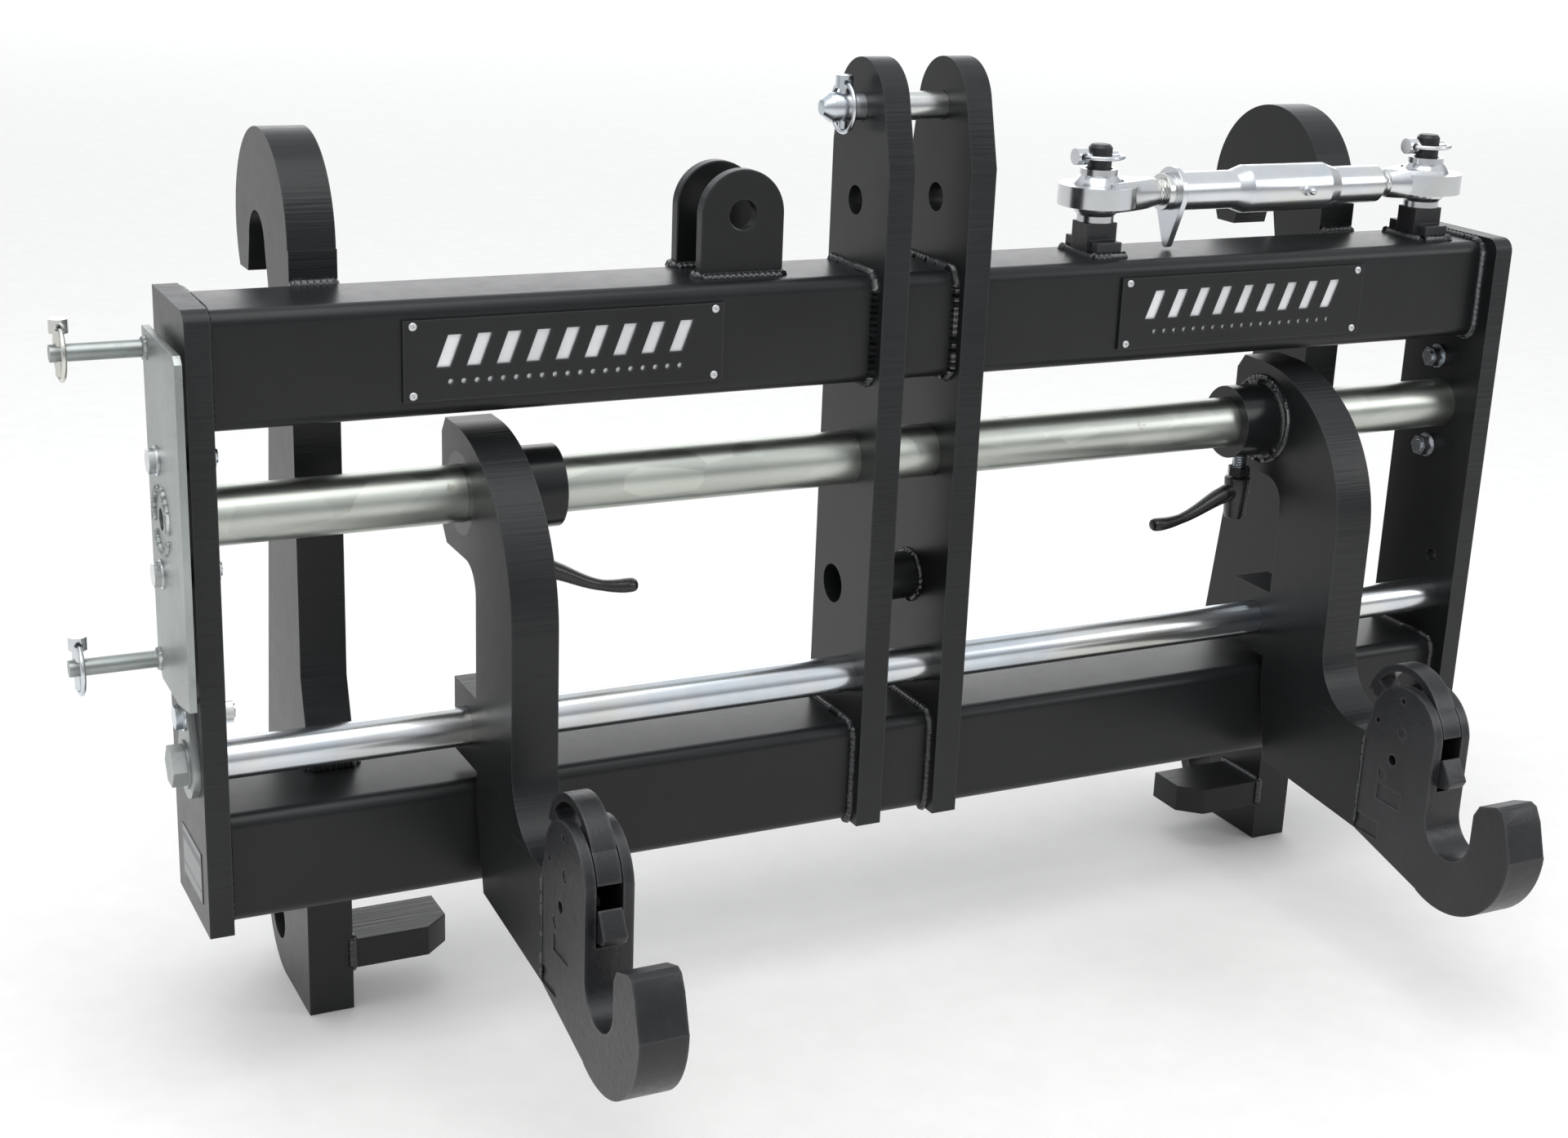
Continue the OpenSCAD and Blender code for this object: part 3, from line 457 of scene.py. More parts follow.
def add_piece(name, bm, body, material, sharp=30.0):
    """Turns a bmesh into a shaded object that rides on a body."""
    bmesh.ops.recalc_face_normals(bm, faces=bm.faces[:])
    for face in bm.faces:
        face.smooth = True
    for edge in bm.edges:
        if len(edge.link_faces) == 2:
            edge.smooth = edge.calc_face_angle(0.0) < math.radians(sharp)
    mesh = bpy.data.meshes.new(name)
    bm.to_mesh(mesh)
    bm.free()
    piece = bpy.data.objects.new(name, mesh)
    bpy.context.scene.collection.objects.link(piece)
    mesh.materials.append(material)
    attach(piece, body)
    return piece


def merged(node):
    """A copy of a CAD node's mesh with its loose triangles joined."""
    bm = bmesh.new()
    bm.from_mesh(NODES[node].data)
    bmesh.ops.remove_doubles(bm, verts=bm.verts[:], dist=MERGE_DISTANCE)
    return bm


def solids_of(node):
    """The middle and the half size of each separate solid in a CAD node, from left to right."""
    bm = merged(node)
    left = set(bm.verts)
    found = []
    while left:
        todo = [left.pop()]
        low = high = todo[0].co.copy()
        while todo:
            vert = todo.pop()
            low = Vector(map(min, low, vert.co))
            high = Vector(map(max, high, vert.co))
            near = {edge.other_vert(vert) for edge in vert.link_edges} & left
            left -= near
            todo.extend(near)
        found.append(((low + high) / 2, (high - low) / 2))
    bm.free()
    return sorted(found, key=lambda solid: tuple(solid[0]))


def sharp_runs(bm, corner):
    """The sharp edges of a mesh, in runs that hang together, each with its length across."""
    left = {
        edge
        for edge in bm.edges
        if len(edge.link_faces) == 2 and edge.calc_face_angle(0.0) > math.radians(corner)
    }
    runs = []
    while left:
        run, todo = [], [left.pop()]
        while todo:
            edge = todo.pop()
            run.append(edge)
            near = {other for vert in edge.verts for other in vert.link_edges} & left
            left -= near
            todo.extend(near)
        points = [vert.co for edge in run for vert in edge.verts]
        spans = [max(p[i] for p in points) - min(p[i] for p in points) for i in range(3)]
        runs.append((run, max(spans)))
    return runs


def softened(node, width, corner=35.0):
    """A merged copy of a CAD node: its outline is rounded by width, its small holes less."""
    bm = merged(node)
    bmesh.ops.dissolve_limit(
        bm, angle_limit=math.radians(0.6), verts=bm.verts[:], edges=bm.edges[:]
    )
    if not width:
        return bm
    outline, fine = [], []
    for run, span in sharp_runs(bm, corner):
        (outline if span > width * FINE_RUN else fine).extend(run)
    for corners, offset in ((fine, min(width, FINE_CORNER)), (outline, width)):
        corners = [edge for edge in corners if edge.is_valid]
        bmesh.ops.bevel(
            bm, geom=corners, offset=offset, offset_type="OFFSET", segments=2,
            profile=0.5, affect="EDGES", clamp_overlap=True, material=-1,
        )
    return bm


def turned_to(direction):
    """The turn that takes +Z to a direction."""
    return Vector(direction).to_track_quat("Z", "Y").to_matrix()


def sweep(bm, path, radii, segments=10):
    """Extrudes a round face along a path, with its own radius at each point."""
    heading = (path[1] - path[0]).normalized()
    start = bmesh.ops.create_circle(
        bm, cap_ends=True, radius=radii[0], segments=segments,
        matrix=Matrix.Translation(path[0]) @ turned_to(heading).to_4x4(),
    )
    face = start["verts"][0].link_faces[0]
    for i in range(1, len(path)):
        ahead = (path[min(i + 1, len(path) - 1)] - path[i - 1]).normalized()
        grown = bmesh.ops.extrude_face_region(bm, geom=[face], use_keep_orig=i == 1)
        face = [item for item in grown["geom"] if isinstance(item, bmesh.types.BMFace)][0]
        turn = heading.rotation_difference(ahead).to_matrix().to_4x4()
        size = Matrix.Scale(radii[i] / radii[i - 1], 4)
        move = Matrix.Translation(path[i]) @ turn @ size @ Matrix.Translation(-path[i - 1])
        bmesh.ops.transform(bm, verts=face.verts[:], matrix=move)
        heading = ahead


def spaced(points, pitch):
    """Points a pitch apart along a path of straight stretches."""
    lengths = [(b - a).length for a, b in zip(points, points[1:])]
    count = max(4, round(sum(lengths) / pitch))
    step = sum(lengths) / count
    path, done, i = [points[0]], 0.0, 0
    for n in range(1, count):
        while i < len(lengths) - 1 and n * step > done + lengths[i]:
            done += lengths[i]
            i += 1
        path.append(points[i].lerp(points[i + 1], (n * step - done) / lengths[i]))
    return [*path, points[-1]]


def arc(centre, radius, first, last, axis=(1, 0, 0)):
    """Points round an axis through centre, from one angle to another in degrees."""
    turn = turned_to(axis)
    count = max(3, round(abs(last - first) / 9))
    angles = [math.radians(first + (last - first) * i / count) for i in range(count + 1)]
    centre = Vector(centre)
    return [centre + turn @ Vector((math.cos(a), math.sin(a), 0)) * radius for a in angles]


def bead(bm, points, size, pitch):
    """A rippled weld bead along a path."""
    path = spaced([Vector(point) for point in points], pitch)
    radii = [size * (1.0 if i % 2 else 0.84) for i in range(len(path))]
    radii[0] = radii[-1] = size * 0.45
    sweep(bm, path, radii, 8)


def bead_ring(bm, centre, axis, radius, size, pitch, first=0.0, last=358.0):
    """A rippled weld bead round an axis."""
    bead(bm, arc(centre, radius, first, last, axis), size, pitch)


def rectangle(low, high, axis, level):
    """The closed outline of a box at one level along an axis."""
    a, b = [i for i in range(3) if i != axis]
    points = []
    for u, v in ((low, low), (high, low), (high, high), (low, high), (low, low)):
        point = Vector((0.0, 0.0, 0.0))
        point[axis], point[a], point[b] = level, u[a], v[b]
        points.append(point)
    return points


def thread(bm, centre, axis, radius, length, pitch):
    """A raised thread that winds along an axis from centre."""
    turn = turned_to(axis)
    steps = 14
    count = round(length / pitch * steps)
    path = []
    for i in range(count + 1):
        angle = 2 * math.pi * i / steps
        round_axis = Vector((math.cos(angle) * radius, math.sin(angle) * radius, 0.0))
        path.append(Vector(centre) + turn @ (round_axis + Vector((0, 0, pitch * i / steps))))
    sweep(bm, path, [pitch * 0.3] * len(path), 6)


def turned_shape(bm, profile, centre, axis, steps=32):
    """Spins a profile of radius and height pairs round an axis through centre."""
    turn = turned_to(axis)
    centre = Vector(centre)
    verts = [bm.verts.new(centre + turn @ Vector((r, 0, h))) for r, h in profile]
    edges = [bm.edges.new(pair) for pair in zip(verts, verts[1:])]
    bmesh.ops.spin(
        bm, geom=verts + edges, cent=centre, axis=turn @ Vector((0, 0, 1)),
        angle=2 * math.pi, steps=steps, use_merge=True,
    )
    bmesh.ops.remove_doubles(bm, verts=bm.verts[:], dist=0.000001)


def beam_path(beam, x, back, corner, under):
    """Round a box beam at x: along its top, down its front and, if under, back below it."""
    low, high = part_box(beam)
    edge = low.y + corner
    path = [Vector((x, back, high.z))]
    path += arc((x, edge, high.z - corner), corner, 90, 180)
    path += arc((x, edge, low.z + corner), corner, 180, 270)
    return path + [Vector((x, back, low.z))] if under else path


# ---- settings --------------------------------------------------------------------------------


def length(name, description, default, most):
    """A length setting in metres."""
    return FloatProperty(
        name=name, description=description, subtype="DISTANCE", unit="LENGTH",
        min=0.0, max=most, default=default,
    )


def tint(name, description, default):
    """A colour setting."""
    return FloatVectorProperty(
        name=name, description=description, subtype="COLOR", size=3, min=0.0, max=1.0,
        default=default,
    )


class LinkageFinishSizes(bpy.types.PropertyGroup):
    """Colours and surface finish of the steel"""

    paint: tint("Paint", "Colour of the powder coat", (0.0085, 0.0090, 0.0095))
    paint_roughness: FloatProperty(
        name="Paint roughness", description="Roughness of the powder coat",
        min=0.15, max=0.9, default=0.33, subtype="FACTOR",
    )
    paint_gloss: FloatProperty(
        name="Paint gloss", description="How much light the powder coat mirrors",
        min=0.0, max=1.0, default=0.30, subtype="FACTOR",
    )
    forging: tint("Forging", "Colour of the forged hooks", (0.012, 0.0125, 0.0138))
    moulding: tint("Moulding", "Colour of the clamp levers", (0.008, 0.008, 0.0088))
    zinc: tint("Galvanised zinc", "Colour of the upper rail", (0.49, 0.515, 0.47))
    dull: tint("Dull zinc", "Colour of the storage plate and its fittings", (0.34, 0.365, 0.355))
    bright: tint("Bright zinc", "Colour of the plated pieces", (0.66, 0.68, 0.70))


class LinkageTrimSizes(bpy.types.PropertyGroup):
    """Sizes of the weld beads, threads and rounded corners"""

    weld: length("Weld size", "Radius of a weld bead", 0.0056, 0.01)
    ripple: length("Weld ripple", "Length of half a ripple", 0.0027, 0.01)
    beam_corner: length("Beam corner", "Outer corner radius of the box beams", 0.012, 0.02)
    corner: length("Plate corner", "Rounding of a plate's corners", 0.001, 0.004)
    forged_corner: length("Forged corner", "Rounding of a hook's corners", 0.0042, 0.008)
    seam: length("Hook seam", "Height of the weld seam between arm and hook", 0.094, 0.15)
    link_pitch: length("Link thread", "Pitch of the top link's threads", 0.003, 0.006)
    bolt_pitch: length("Bolt thread", "Pitch of the bolts and clamp screws", 0.00175, 0.003)
    rivet_dome: length("Rivet dome", "Height of a rivet's head", 0.0016, 0.003)


class LinkageStageSizes(bpy.types.PropertyGroup):
    """Camera, lights and floor"""

    lens: FloatProperty(
        name="Lens", description="Focal length in millimetres", min=20.0, max=200.0,
        default=52.74,
    )
    eye: FloatVectorProperty(
        name="Camera place", description="Where the camera stands", subtype="TRANSLATION",
        unit="LENGTH", size=3, default=(-0.9893, -1.7596, 0.8771),
    )
    sky: FloatProperty(
        name="Sky strength", description="Strength of the soft light from overhead",
        min=0.0, max=5.0, default=1.0,
    )
    floor_half: length("Floor size", "Half the side of the floor", 30.0, 60.0)


# ---- operators -------------------------------------------------------------------------------


class LINKAGE_OT_finishes(bpy.types.Operator):
    """Makes every finish and gives each CAD node its own"""

    bl_idname = "linkage.finishes"
    bl_label = "Finishes"

    def execute(self, context):
        sizes = context.scene.linkage_finish
        made = {
            "paint": black_paint("black_powder_coat", sizes),
            "plate": black_paint("black_cut_plate", sizes, "X"),
            "lug": black_paint("black_cut_lug", sizes, "Y"),
            "glossy": black_paint("black_gloss_trim", sizes, None, 0.10),
            "forged": forged_black("forged_black", sizes),
            "galvanised": galvanised("galvanised_tube", sizes),
            "rail": bright_zinc("zinc_drawn_rail", sizes, "X"),
            "zinc": bright_zinc("bright_zinc_plate", sizes),
            "dull": dull_zinc("dull_zinc_plate", sizes),
            "weld": weld_skin("painted_weld", sizes),
            "ground": ground_steel("ground_steel", sizes),
            "moulded": moulded_black("moulded_black", sizes),
            "backing": satin_backing("name_backing"),
            "label": foil_label("foil_label"),
        }
        pairs = {
            "plate": ["end_plate", "mast_plate", "hitch_bracket", "arm_plate", "stop_block"],
            "forged": ["hook", "latch", "release_lever", "hook_pins"],
            "glossy": ["collar"],
            "ground": ["link_ball"],
            "moulded": ["clamp_handle", "clamp_screw"],
        }
        chosen = {
            "lug": ["clevis_lugs"],
            "forged": ["link_posts"],
            "glossy": ["name_plates"],
            "galvanised": ["upper_rail"],
            "rail": ["lower_rail"],
            "dull": ["storage_plate", "storage_pegs", "rack_spacers", "right_rail_cover",
                     "rail_tab", "rail_end_bolt"],
            "backing": ["name_backings"],
            "label": ["type_label"],
            "paint": ["top_beam", "bottom_beam", "mast_tube"],
        }
        finish_of = {node: finish for finish, nodes in chosen.items() for node in nodes}
        for finish, kinds in pairs.items():
            for kind in kinds:
                for side in SIDES:
                    finish_of[f"{side}_{kind}"] = finish
        for name, node in NODES.items():
            node.data.materials.clear()
            node.data.materials.append(made[finish_of.get(name, "zinc")])
        return {"FINISHED"}


class LINKAGE_OT_corners(bpy.types.Operator):
    """Rounds the corners of the plates, forgings and plated pieces"""

    bl_idname = "linkage.corners"
    bl_label = "Rounded corners"

    def execute(self, context):
        trim = context.scene.linkage_trim
        widths = (
            (trim.corner, ("end_plate", "mast_plate", "hitch_bracket", "arm_plate", "stop_block",
                           "clevis_lugs", "storage_plate")),
            (trim.forged_corner, ("hook", "link_end")),
            (trim.corner * 1.2, ("latch", "release_lever", "link_posts")),
            (trim.corner * 0.5, ("rack_bolts", "frame_nuts", "link_lock_plate", "mast_pin",
                                 "storage_pegs", "right_rail_cover", "collar")),
            (0.0, ("top_beam", "bottom_beam", "upper_rail", "lower_rail", "mast_tube",
                   "link_ball", "mast_lynch_pin", "post_lynch_pins", "peg_lynch_pins",
                   "mast_lynch_ring", "post_ring", "upper_peg_ring", "lower_peg_ring",
                   "rack_spacers", "hook_pins", "clamp_screw", "rail_tab", "rail_end_bolt")),
            (trim.forged_corner * 0.8, ("link_tube",)),
        )
        for width, kinds in widths:
            for kind in kinds:
                for node in [kind] if kind in NODES else [f"{side}_{kind}" for side in SIDES]:
                    self.round_off(node, width)
        return {"FINISHED"}

    def round_off(self, node, width):
        """Replaces a CAD node with its rounded copy."""
        corner = 12.0 if node == "link_tube" else 35.0
        bm = softened(node, width, corner)
        material = NODES[node].data.materials[0]
        body = NODES[node]["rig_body"]
        piece = add_piece(f"{node}_round", bm, body, material, 16.0)
        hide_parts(node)


def add_welds(name, bm, body, material="painted_weld"):
    """Turns a bmesh of weld beads into a smooth piece on a body."""
    add_piece(name, bm, body, bpy.data.materials[material], 85.0)


class LINKAGE_OT_beam_welds(bpy.types.Operator):
    """Lays weld beads round both box beams, at the mast plates and the end plates"""

    bl_idname = "linkage.beam_welds"
    bl_label = "Beam welds"

    def execute(self, context):
        trim = context.scene.linkage_trim
        size, pitch, corner = trim.weld, trim.ripple, trim.beam_corner
        for beam in ("top_beam", "bottom_beam"):
            low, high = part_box(beam)
            bm = bmesh.new()
            top = beam == "top_beam"
            for side in SIDES:
                first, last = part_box(f"{side}_mast_plate")
                for x in (first.x, last.x):
                    back = last.y - size if top else low.y + (high.y - low.y) * 0.9
                    bead(bm, beam_path(beam, x, back, corner, top), size, pitch)
            for x in (low.x, high.x):
                bead(bm, beam_path(beam, x, high.y - size, corner, top), size * 0.9, pitch)
            add_welds(f"{beam}_welds", bm, "frame")
        return {"FINISHED"}


class LINKAGE_OT_bracket_welds(bpy.types.Operator):
    """Lays weld beads where the rear brackets and their stop blocks are joined on"""

    bl_idname = "linkage.bracket_welds"
    bl_label = "Bracket welds"

    def execute(self, context):
        trim = context.scene.linkage_trim
        size, pitch, corner = trim.weld, trim.ripple, trim.beam_corner
        for side in SIDES:
            bm = bmesh.new()
            first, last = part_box(f"{side}_hitch_bracket")
            for beam in ("top_beam", "bottom_beam"):
                low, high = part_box(beam)
                groove = high.y - corner * 0.2
                edges = [(groove, low.z + corner * 0.2)]
                if beam == "top_beam":
                    edges.append((groove, high.z - corner * 0.2))
                else:
                    edges.append((first.y, high.z + size * 0.3))
                for y, z in edges:
                    bead(bm, [(first.x, y, z), (last.x, y, z)], size * 1.4, pitch)
                for x in (first.x, last.x):
                    upright = [(x, high.y, low.z + corner), (x, high.y, high.z - corner)]
                    bead(bm, upright, size, pitch)
            for x in (first.x, last.x):
                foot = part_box("bottom_beam")[1]
                bead(bm, [(x, first.y, foot.z), (x, foot.y - corner, foot.z)], size, pitch)
            low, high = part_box(f"{side}_stop_block")
            joint = low.x if side == "left" else high.x
            bead(bm, rectangle(low, high, 0, joint), size * 0.8, pitch)
            add_welds(f"{side}_bracket_welds", bm, "frame")
        return {"FINISHED"}


class LINKAGE_OT_fitting_welds(bpy.types.Operator):
    """Lays weld beads round the clevis lugs, the link posts and the mast tube"""

    bl_idname = "linkage.fitting_welds"
    bl_label = "Fitting welds"

    def execute(self, context):
        trim = context.scene.linkage_trim
        size, pitch = trim.weld, trim.ripple
        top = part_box("top_beam")[1].z
        bm = bmesh.new()
        for middle, half in solids_of("clevis_lugs"):
            bead(bm, rectangle(middle - half, middle + half, 2, top), size, pitch)
            for y in (middle.y - half.y - size * 0.6, middle.y + half.y + size * 0.6):
                run = [(middle.x - half.x, y, top), (middle.x + half.x, y, top)]
                bead(bm, run, size * 0.8, pitch)
        add_welds("clevis_welds", bm, "frame")
        bm = bmesh.new()
        for middle, half in solids_of("link_posts"):
            foot = Vector((half.x * 0.85, half.y, 0.0))
            bead(bm, rectangle(middle - foot, middle + foot, 2, top), size, pitch)
            for y in (middle.y - half.y, middle.y + half.y):
                run = [(middle.x - foot.x * 1.4, y, top), (middle.x + foot.x * 1.4, y, top)]
                bead(bm, run, size * 1.1, pitch)
        add_welds("post_welds", bm, "frame")
        bm = bmesh.new()
        low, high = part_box("mast_tube")
        middle, half = (low + high) / 2, (high - low) / 2
        for x in (low.x, high.x):
            bead_ring(bm, (x, middle.y, middle.z), (1, 0, 0), half.z, size * 0.7, pitch)
        add_welds("mast_tube_welds", bm, "frame")
        return {"FINISHED"}


class LINKAGE_OT_arm_welds(bpy.types.Operator):
    """Lays the weld ring round each collar and the seam between arm plate and hook"""

    bl_idname = "linkage.arm_welds"
    bl_label = "Arm welds"

    def execute(self, context):
        trim = context.scene.linkage_trim
        size, pitch = trim.weld, trim.ripple
        for side, inward in SIDES.items():
            bm = bmesh.new()
            low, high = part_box(f"{side}_arm_plate")
            ring_low, ring_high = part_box(f"{side}_collar")
            middle, half = (ring_low + ring_high) / 2, (ring_high - ring_low) / 2
            inner = high.x if inward > 0 else low.x
            centre = (inner, middle.y, middle.z)
            bead_ring(bm, centre, (1, 0, 0), half.z, size, pitch)
            bead_ring(bm, centre, (1, 0, 0), half.z + size, size * 0.7, pitch, 30.0, 386.0)
            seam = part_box(f"{side}_hook")[1].y
            for x in (low.x, high.x):
                run = [(x, seam, low.z + size), (x, seam, low.z + trim.seam)]
                bead(bm, run, size * 0.35, pitch)
            add_welds(f"{side}_arm_welds", bm, f"{side}_arm")
        return {"FINISHED"}


class LINKAGE_OT_rack_welds(bpy.types.Operator):
    """Lays the zinc-coated welds of the storage pegs and of the rail end behind the plate"""

    bl_idname = "linkage.rack_welds"
    bl_label = "Rack welds"

    def execute(self, context):
        trim = context.scene.linkage_trim
        size, pitch = trim.weld * 0.6, trim.ripple * 0.8
        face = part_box("storage_plate")[0].x
        bm = bmesh.new()
        for middle, half in solids_of("storage_pegs"):
            bead_ring(bm, (face, middle.y, middle.z), (1, 0, 0), half.z, size, pitch)
        low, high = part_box("upper_rail")
        middle, half = (low + high) / 2, (high - low) / 2
        centre = (face, middle.y, middle.z)
        for first, last in ((95.0, 190.0), (205.0, 330.0), (345.0, 430.0)):
            bead_ring(bm, centre, (1, 0, 0), half.z * 1.08, size, pitch, first, last)
        add_welds("rack_welds", bm, "frame", "dull_zinc_plate")
        return {"FINISHED"}


class LINKAGE_OT_threads(bpy.types.Operator):
    """Winds the threads that show on the top link, the bolts and the clamp screws"""

    bl_idname = "linkage.threads"
    bl_label = "Threads"

    def execute(self, context):
        trim = context.scene.linkage_trim
        zinc = bpy.data.materials["bright_zinc_plate"]
        link_radius, lock_shown, tube_shown = 0.012, 0.0075, 0.006
        bolt_radius, bolt_shown, chamfer = 0.006, 0.004, 0.0006
        clamp_shown, clamp_start = 0.0112, 0.0118
        lock_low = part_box("link_lock_plate")[0]
        ball_low, ball_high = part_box("left_link_ball")
        centre = (ball_low + ball_high) / 2
        tube_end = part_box("link_tube")[1].x
        bm = bmesh.new()
        for x, shown in ((lock_low.x - lock_shown, lock_shown), (tube_end, tube_shown)):
            place = (x, centre.y, centre.z)
            thread(bm, place, (1, 0, 0), link_radius, shown, trim.link_pitch)
        add_piece("link_threads", bm, "frame", zinc, 60.0)
        bm = bmesh.new()
        for middle, half in solids_of("rack_bolts"):
            inward = 1 if middle.x < 0 else -1
            start = middle.x + inward * (half.x - bolt_shown)
            place = (start, middle.y, middle.z)
            run = bolt_shown - chamfer
            thread(bm, place, (inward, 0, 0), bolt_radius, run, trim.bolt_pitch)
        add_piece("bolt_threads", bm, "frame", zinc, 60.0)
        for side in SIDES:
            low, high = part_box(f"{side}_clamp_screw")
            collar_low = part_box(f"{side}_collar")[0].z
            place = ((low.x + high.x) / 2, (low.y + high.y) / 2, collar_low - clamp_start)
            bm = bmesh.new()
            thread(bm, place, (0, 0, 1), bolt_radius, clamp_shown, trim.bolt_pitch)
            add_piece(f"{side}_clamp_thread", bm, f"{side}_clamp", zinc, 60.0)
        return {"FINISHED"}


class LINKAGE_OT_rivets(bpy.types.Operator):
    """Turns the domed blind rivets of the name plates"""

    bl_idname = "linkage.rivets"
    bl_label = "Rivets"

    def execute(self, context):
        dome = context.scene.linkage_trim.rivet_dome
        bm = bmesh.new()
        for middle, half in solids_of("name_rivets"):
            head = half.z
            back = middle.y + half.y
            seat = middle.y - half.y + dome
            stem = back - seat
            profile = [(0.0, dome * 0.35), (head * 0.22, dome * 0.35), (head * 0.26, dome * 0.92)]
            profile += [
                (head * math.sin(a), dome * math.cos(a) ** 0.7)
                for a in (math.radians(t) for t in range(24, 90, 11))
            ]
            profile += [(head, 0.0), (head * 0.55, 0.0), (head * 0.55, -stem), (0.0, -stem)]
            turned_shape(bm, profile, (middle.x, seat, middle.z), (0, -1, 0), 20)
        piece = add_piece(
            "domed_rivets", bm, "frame", bpy.data.materials["ground_steel"], 40.0
        )
        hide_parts("name_rivets")
        return {"FINISHED"}


class LINKAGE_OT_clamp_levers(bpy.types.Operator):
    """Moulds the curved clamp levers"""

    bl_idname = "linkage.clamp_levers"
    bl_label = "Clamp levers"

    def execute(self, context):
        for side, inward in SIDES.items():
            node = f"{side}_clamp_handle"
            low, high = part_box(node)
            screw_low, screw_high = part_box(f"{side}_clamp_screw")
            axle = (screw_low + screw_high) / 2
            reach = high.x - axle.x if inward > 0 else axle.x - low.x
            hub, deep = (high.y - low.y) / 2, high.z - low.z
            top, bore = high.z, (screw_high.x - screw_low.x) / 2 * 0.55
            bm = bmesh.new()
            height = deep * 0.89
            profile = [
                (0.0, -height * 0.58), (bore, -height * 0.58), (bore, 0.0),
                (hub * 0.86, 0.0), (hub * 0.96, -hub * 0.06), (hub, -hub * 0.18),
                (hub * 0.82, -height * 0.93), (hub * 0.74, -height * 0.98),
                (hub * 0.6, -height), (0.0, -height),
            ]
            turned_shape(bm, profile, (axle.x, axle.y, top), (0, 0, 1), 36)
            out = Vector((inward, 0.0, 0.0))
            root = Vector((axle.x, axle.y, top - deep * 0.28))
            tip = Vector((axle.x, axle.y, low.z + hub * 0.54)) + out * (reach - hub * 0.5)
            path = interpolate_bezier(
                root, root + out * reach * 0.35 - Vector((0, 0, deep * 0.1)),
                tip - out * reach * 0.45 - Vector((0, 0, hub * 0.1)), tip, 22,
            )
            count = len(path) - 1
            radii = [
                hub * (0.78 - 0.42 * math.sin(math.pi * 0.5 * i / count)) for i in range(count)
            ]
            for i in range(count - 4, count):
                radii[i] += hub * 0.14 * (i - count + 5) / 4
            radii.append(radii[-1])
            end = path[-1]
            for step, share in ((0.18, 0.92), (0.32, 0.70), (0.42, 0.34)):
                path.append(end + out * hub * step)
                radii.append(radii[count] * share)
            before = len(bm.verts)
            sweep(bm, path, radii, 16)
            bm.verts.ensure_lookup_table()
            bmesh.ops.scale(
                bm, vec=(1.0, 1.15, 1.0), space=Matrix.Translation((0, -axle.y, 0)),
                verts=bm.verts[before:],
            )
            material = bpy.data.materials["moulded_black"]
            piece = add_piece(f"{side}_clamp_lever", bm, f"{side}_clamp", material)
            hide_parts(node)
        return {"FINISHED"}


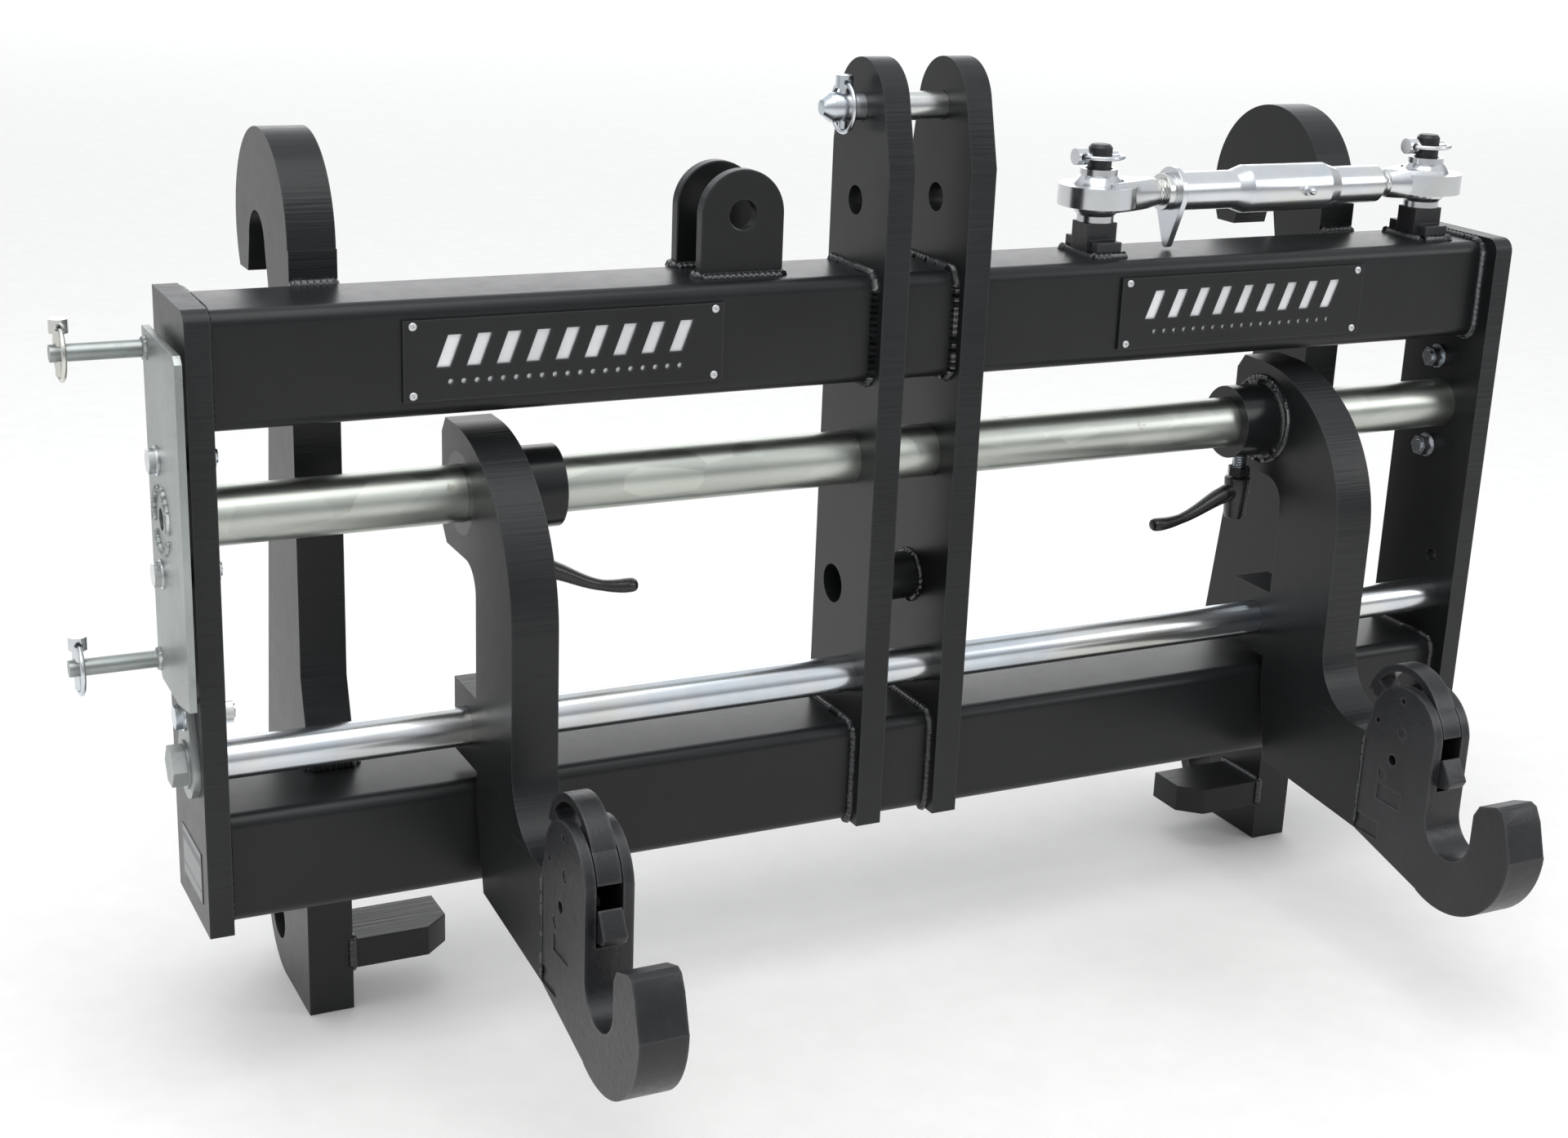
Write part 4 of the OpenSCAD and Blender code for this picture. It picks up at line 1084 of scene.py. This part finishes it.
class LINKAGE_OT_stage(bpy.types.Operator):
    """Adds the floor, the lights and the camera"""

    bl_idname = "linkage.stage"
    bl_label = "Stage"

    def execute(self, context):
        stage = context.scene.linkage_stage
        ground = CAD_BOX[0].z - 0.0005
        bm = bmesh.new()
        bmesh.ops.create_grid(bm, x_segments=2, y_segments=2, size=stage.floor_half)
        bmesh.ops.translate(bm, verts=bm.verts[:], vec=(0, 0, ground))
        mesh = bpy.data.meshes.new("floor")
        bm.to_mesh(mesh)
        bm.free()
        floor = bpy.data.objects.new("floor", mesh)
        context.scene.collection.objects.link(floor)
        mesh.materials.append(pale_floor("pale_floor"))
        for name, (place, target, wide, tall, power) in LIGHTS.items():
            data = bpy.data.lights.new(name, "AREA")
            data.shape = "RECTANGLE"
            data.size, data.size_y, data.energy = wide, tall, power
            light = bpy.data.objects.new(name, data)
            light.location = place
            aim = Vector(target) - Vector(place)
            light.rotation_mode = "QUATERNION"
            light.rotation_quaternion = aim.to_track_quat("-Z", "Y")
            context.scene.collection.objects.link(light)
        context.scene.world = self.dome(stage.sky)
        data = bpy.data.cameras.new("camera")
        data.lens, data.sensor_width, data.sensor_fit = stage.lens, 36.0, "HORIZONTAL"
        data.clip_start, data.clip_end = 0.05, 100.0
        camera = bpy.data.objects.new("camera", data)
        right = Vector(CAMERA_RIGHT).normalized()
        back = Vector(CAMERA_BACK)
        back = (back - right * back.dot(right)).normalized()
        up = back.cross(right)
        camera.matrix_world = Matrix.Translation(stage.eye) @ Matrix(
            (right, up, back)
        ).transposed().to_4x4()
        context.scene.collection.objects.link(camera)
        context.scene.camera = camera
        context.scene.view_settings.view_transform = "Standard"
        return {"FINISHED"}

    def dome(self, strength):
        """A soft studio dome, dimmer round the horizon than overhead."""
        world = bpy.data.worlds.new("studio")
        world.use_nodes = True
        nodes = Nodes(world.node_tree)
        height = nodes.split(nodes.node("ShaderNodeTexCoord")["Generated"])[2]
        dim, mid, bright = (0.30, 0.31, 0.33), (0.50, 0.51, 0.53), (0.95, 0.97, 1.0)
        colour = nodes.ramp(height, (0.0, dim), (0.25, mid), (0.6, bright))
        sky = world.node_tree.nodes["Background"]
        nodes.join(colour, sky.inputs["Color"])
        sky.inputs["Strength"].default_value = strength
        return world


class LINKAGE_PT_panel(bpy.types.Panel):
    """Lists the sizes and the steps of the linkage frame"""

    bl_idname = "LINKAGE_PT_panel"
    bl_label = "Linkage frame"
    bl_space_type = "VIEW_3D"
    bl_region_type = "UI"
    bl_category = "Linkage frame"

    def draw(self, context):
        for group in GROUPS:
            sizes = getattr(context.scene, group)
            for name in type(sizes).__annotations__:
                self.layout.prop(sizes, name)
        for operator in STEPS:
            self.layout.operator(operator.bl_idname)


GROUPS = {
    "linkage_finish": LinkageFinishSizes,
    "linkage_trim": LinkageTrimSizes,
    "linkage_stage": LinkageStageSizes,
}
STEPS = (
    LINKAGE_OT_finishes,
    LINKAGE_OT_corners,
    LINKAGE_OT_beam_welds,
    LINKAGE_OT_bracket_welds,
    LINKAGE_OT_fitting_welds,
    LINKAGE_OT_arm_welds,
    LINKAGE_OT_rack_welds,
    LINKAGE_OT_threads,
    LINKAGE_OT_rivets,
    LINKAGE_OT_clamp_levers,
    LINKAGE_OT_stage,
)
CLASSES = (*GROUPS.values(), *STEPS, LINKAGE_PT_panel)


def register():
    for made in CLASSES:
        bpy.utils.register_class(made)
    for name, group in GROUPS.items():
        setattr(bpy.types.Scene, name, PointerProperty(type=group))


def unregister():
    for name in GROUPS:
        delattr(bpy.types.Scene, name)
    for made in reversed(CLASSES):
        bpy.utils.unregister_class(made)


def main():
    register()
    bpy.ops.linkage.finishes()
    bpy.ops.linkage.corners()
    bpy.ops.linkage.beam_welds()
    bpy.ops.linkage.bracket_welds()
    bpy.ops.linkage.fitting_welds()
    bpy.ops.linkage.arm_welds()
    bpy.ops.linkage.rack_welds()
    bpy.ops.linkage.threads()
    bpy.ops.linkage.rivets()
    bpy.ops.linkage.clamp_levers()
    bpy.ops.linkage.stage()


if __name__ == "__main__":
    main()
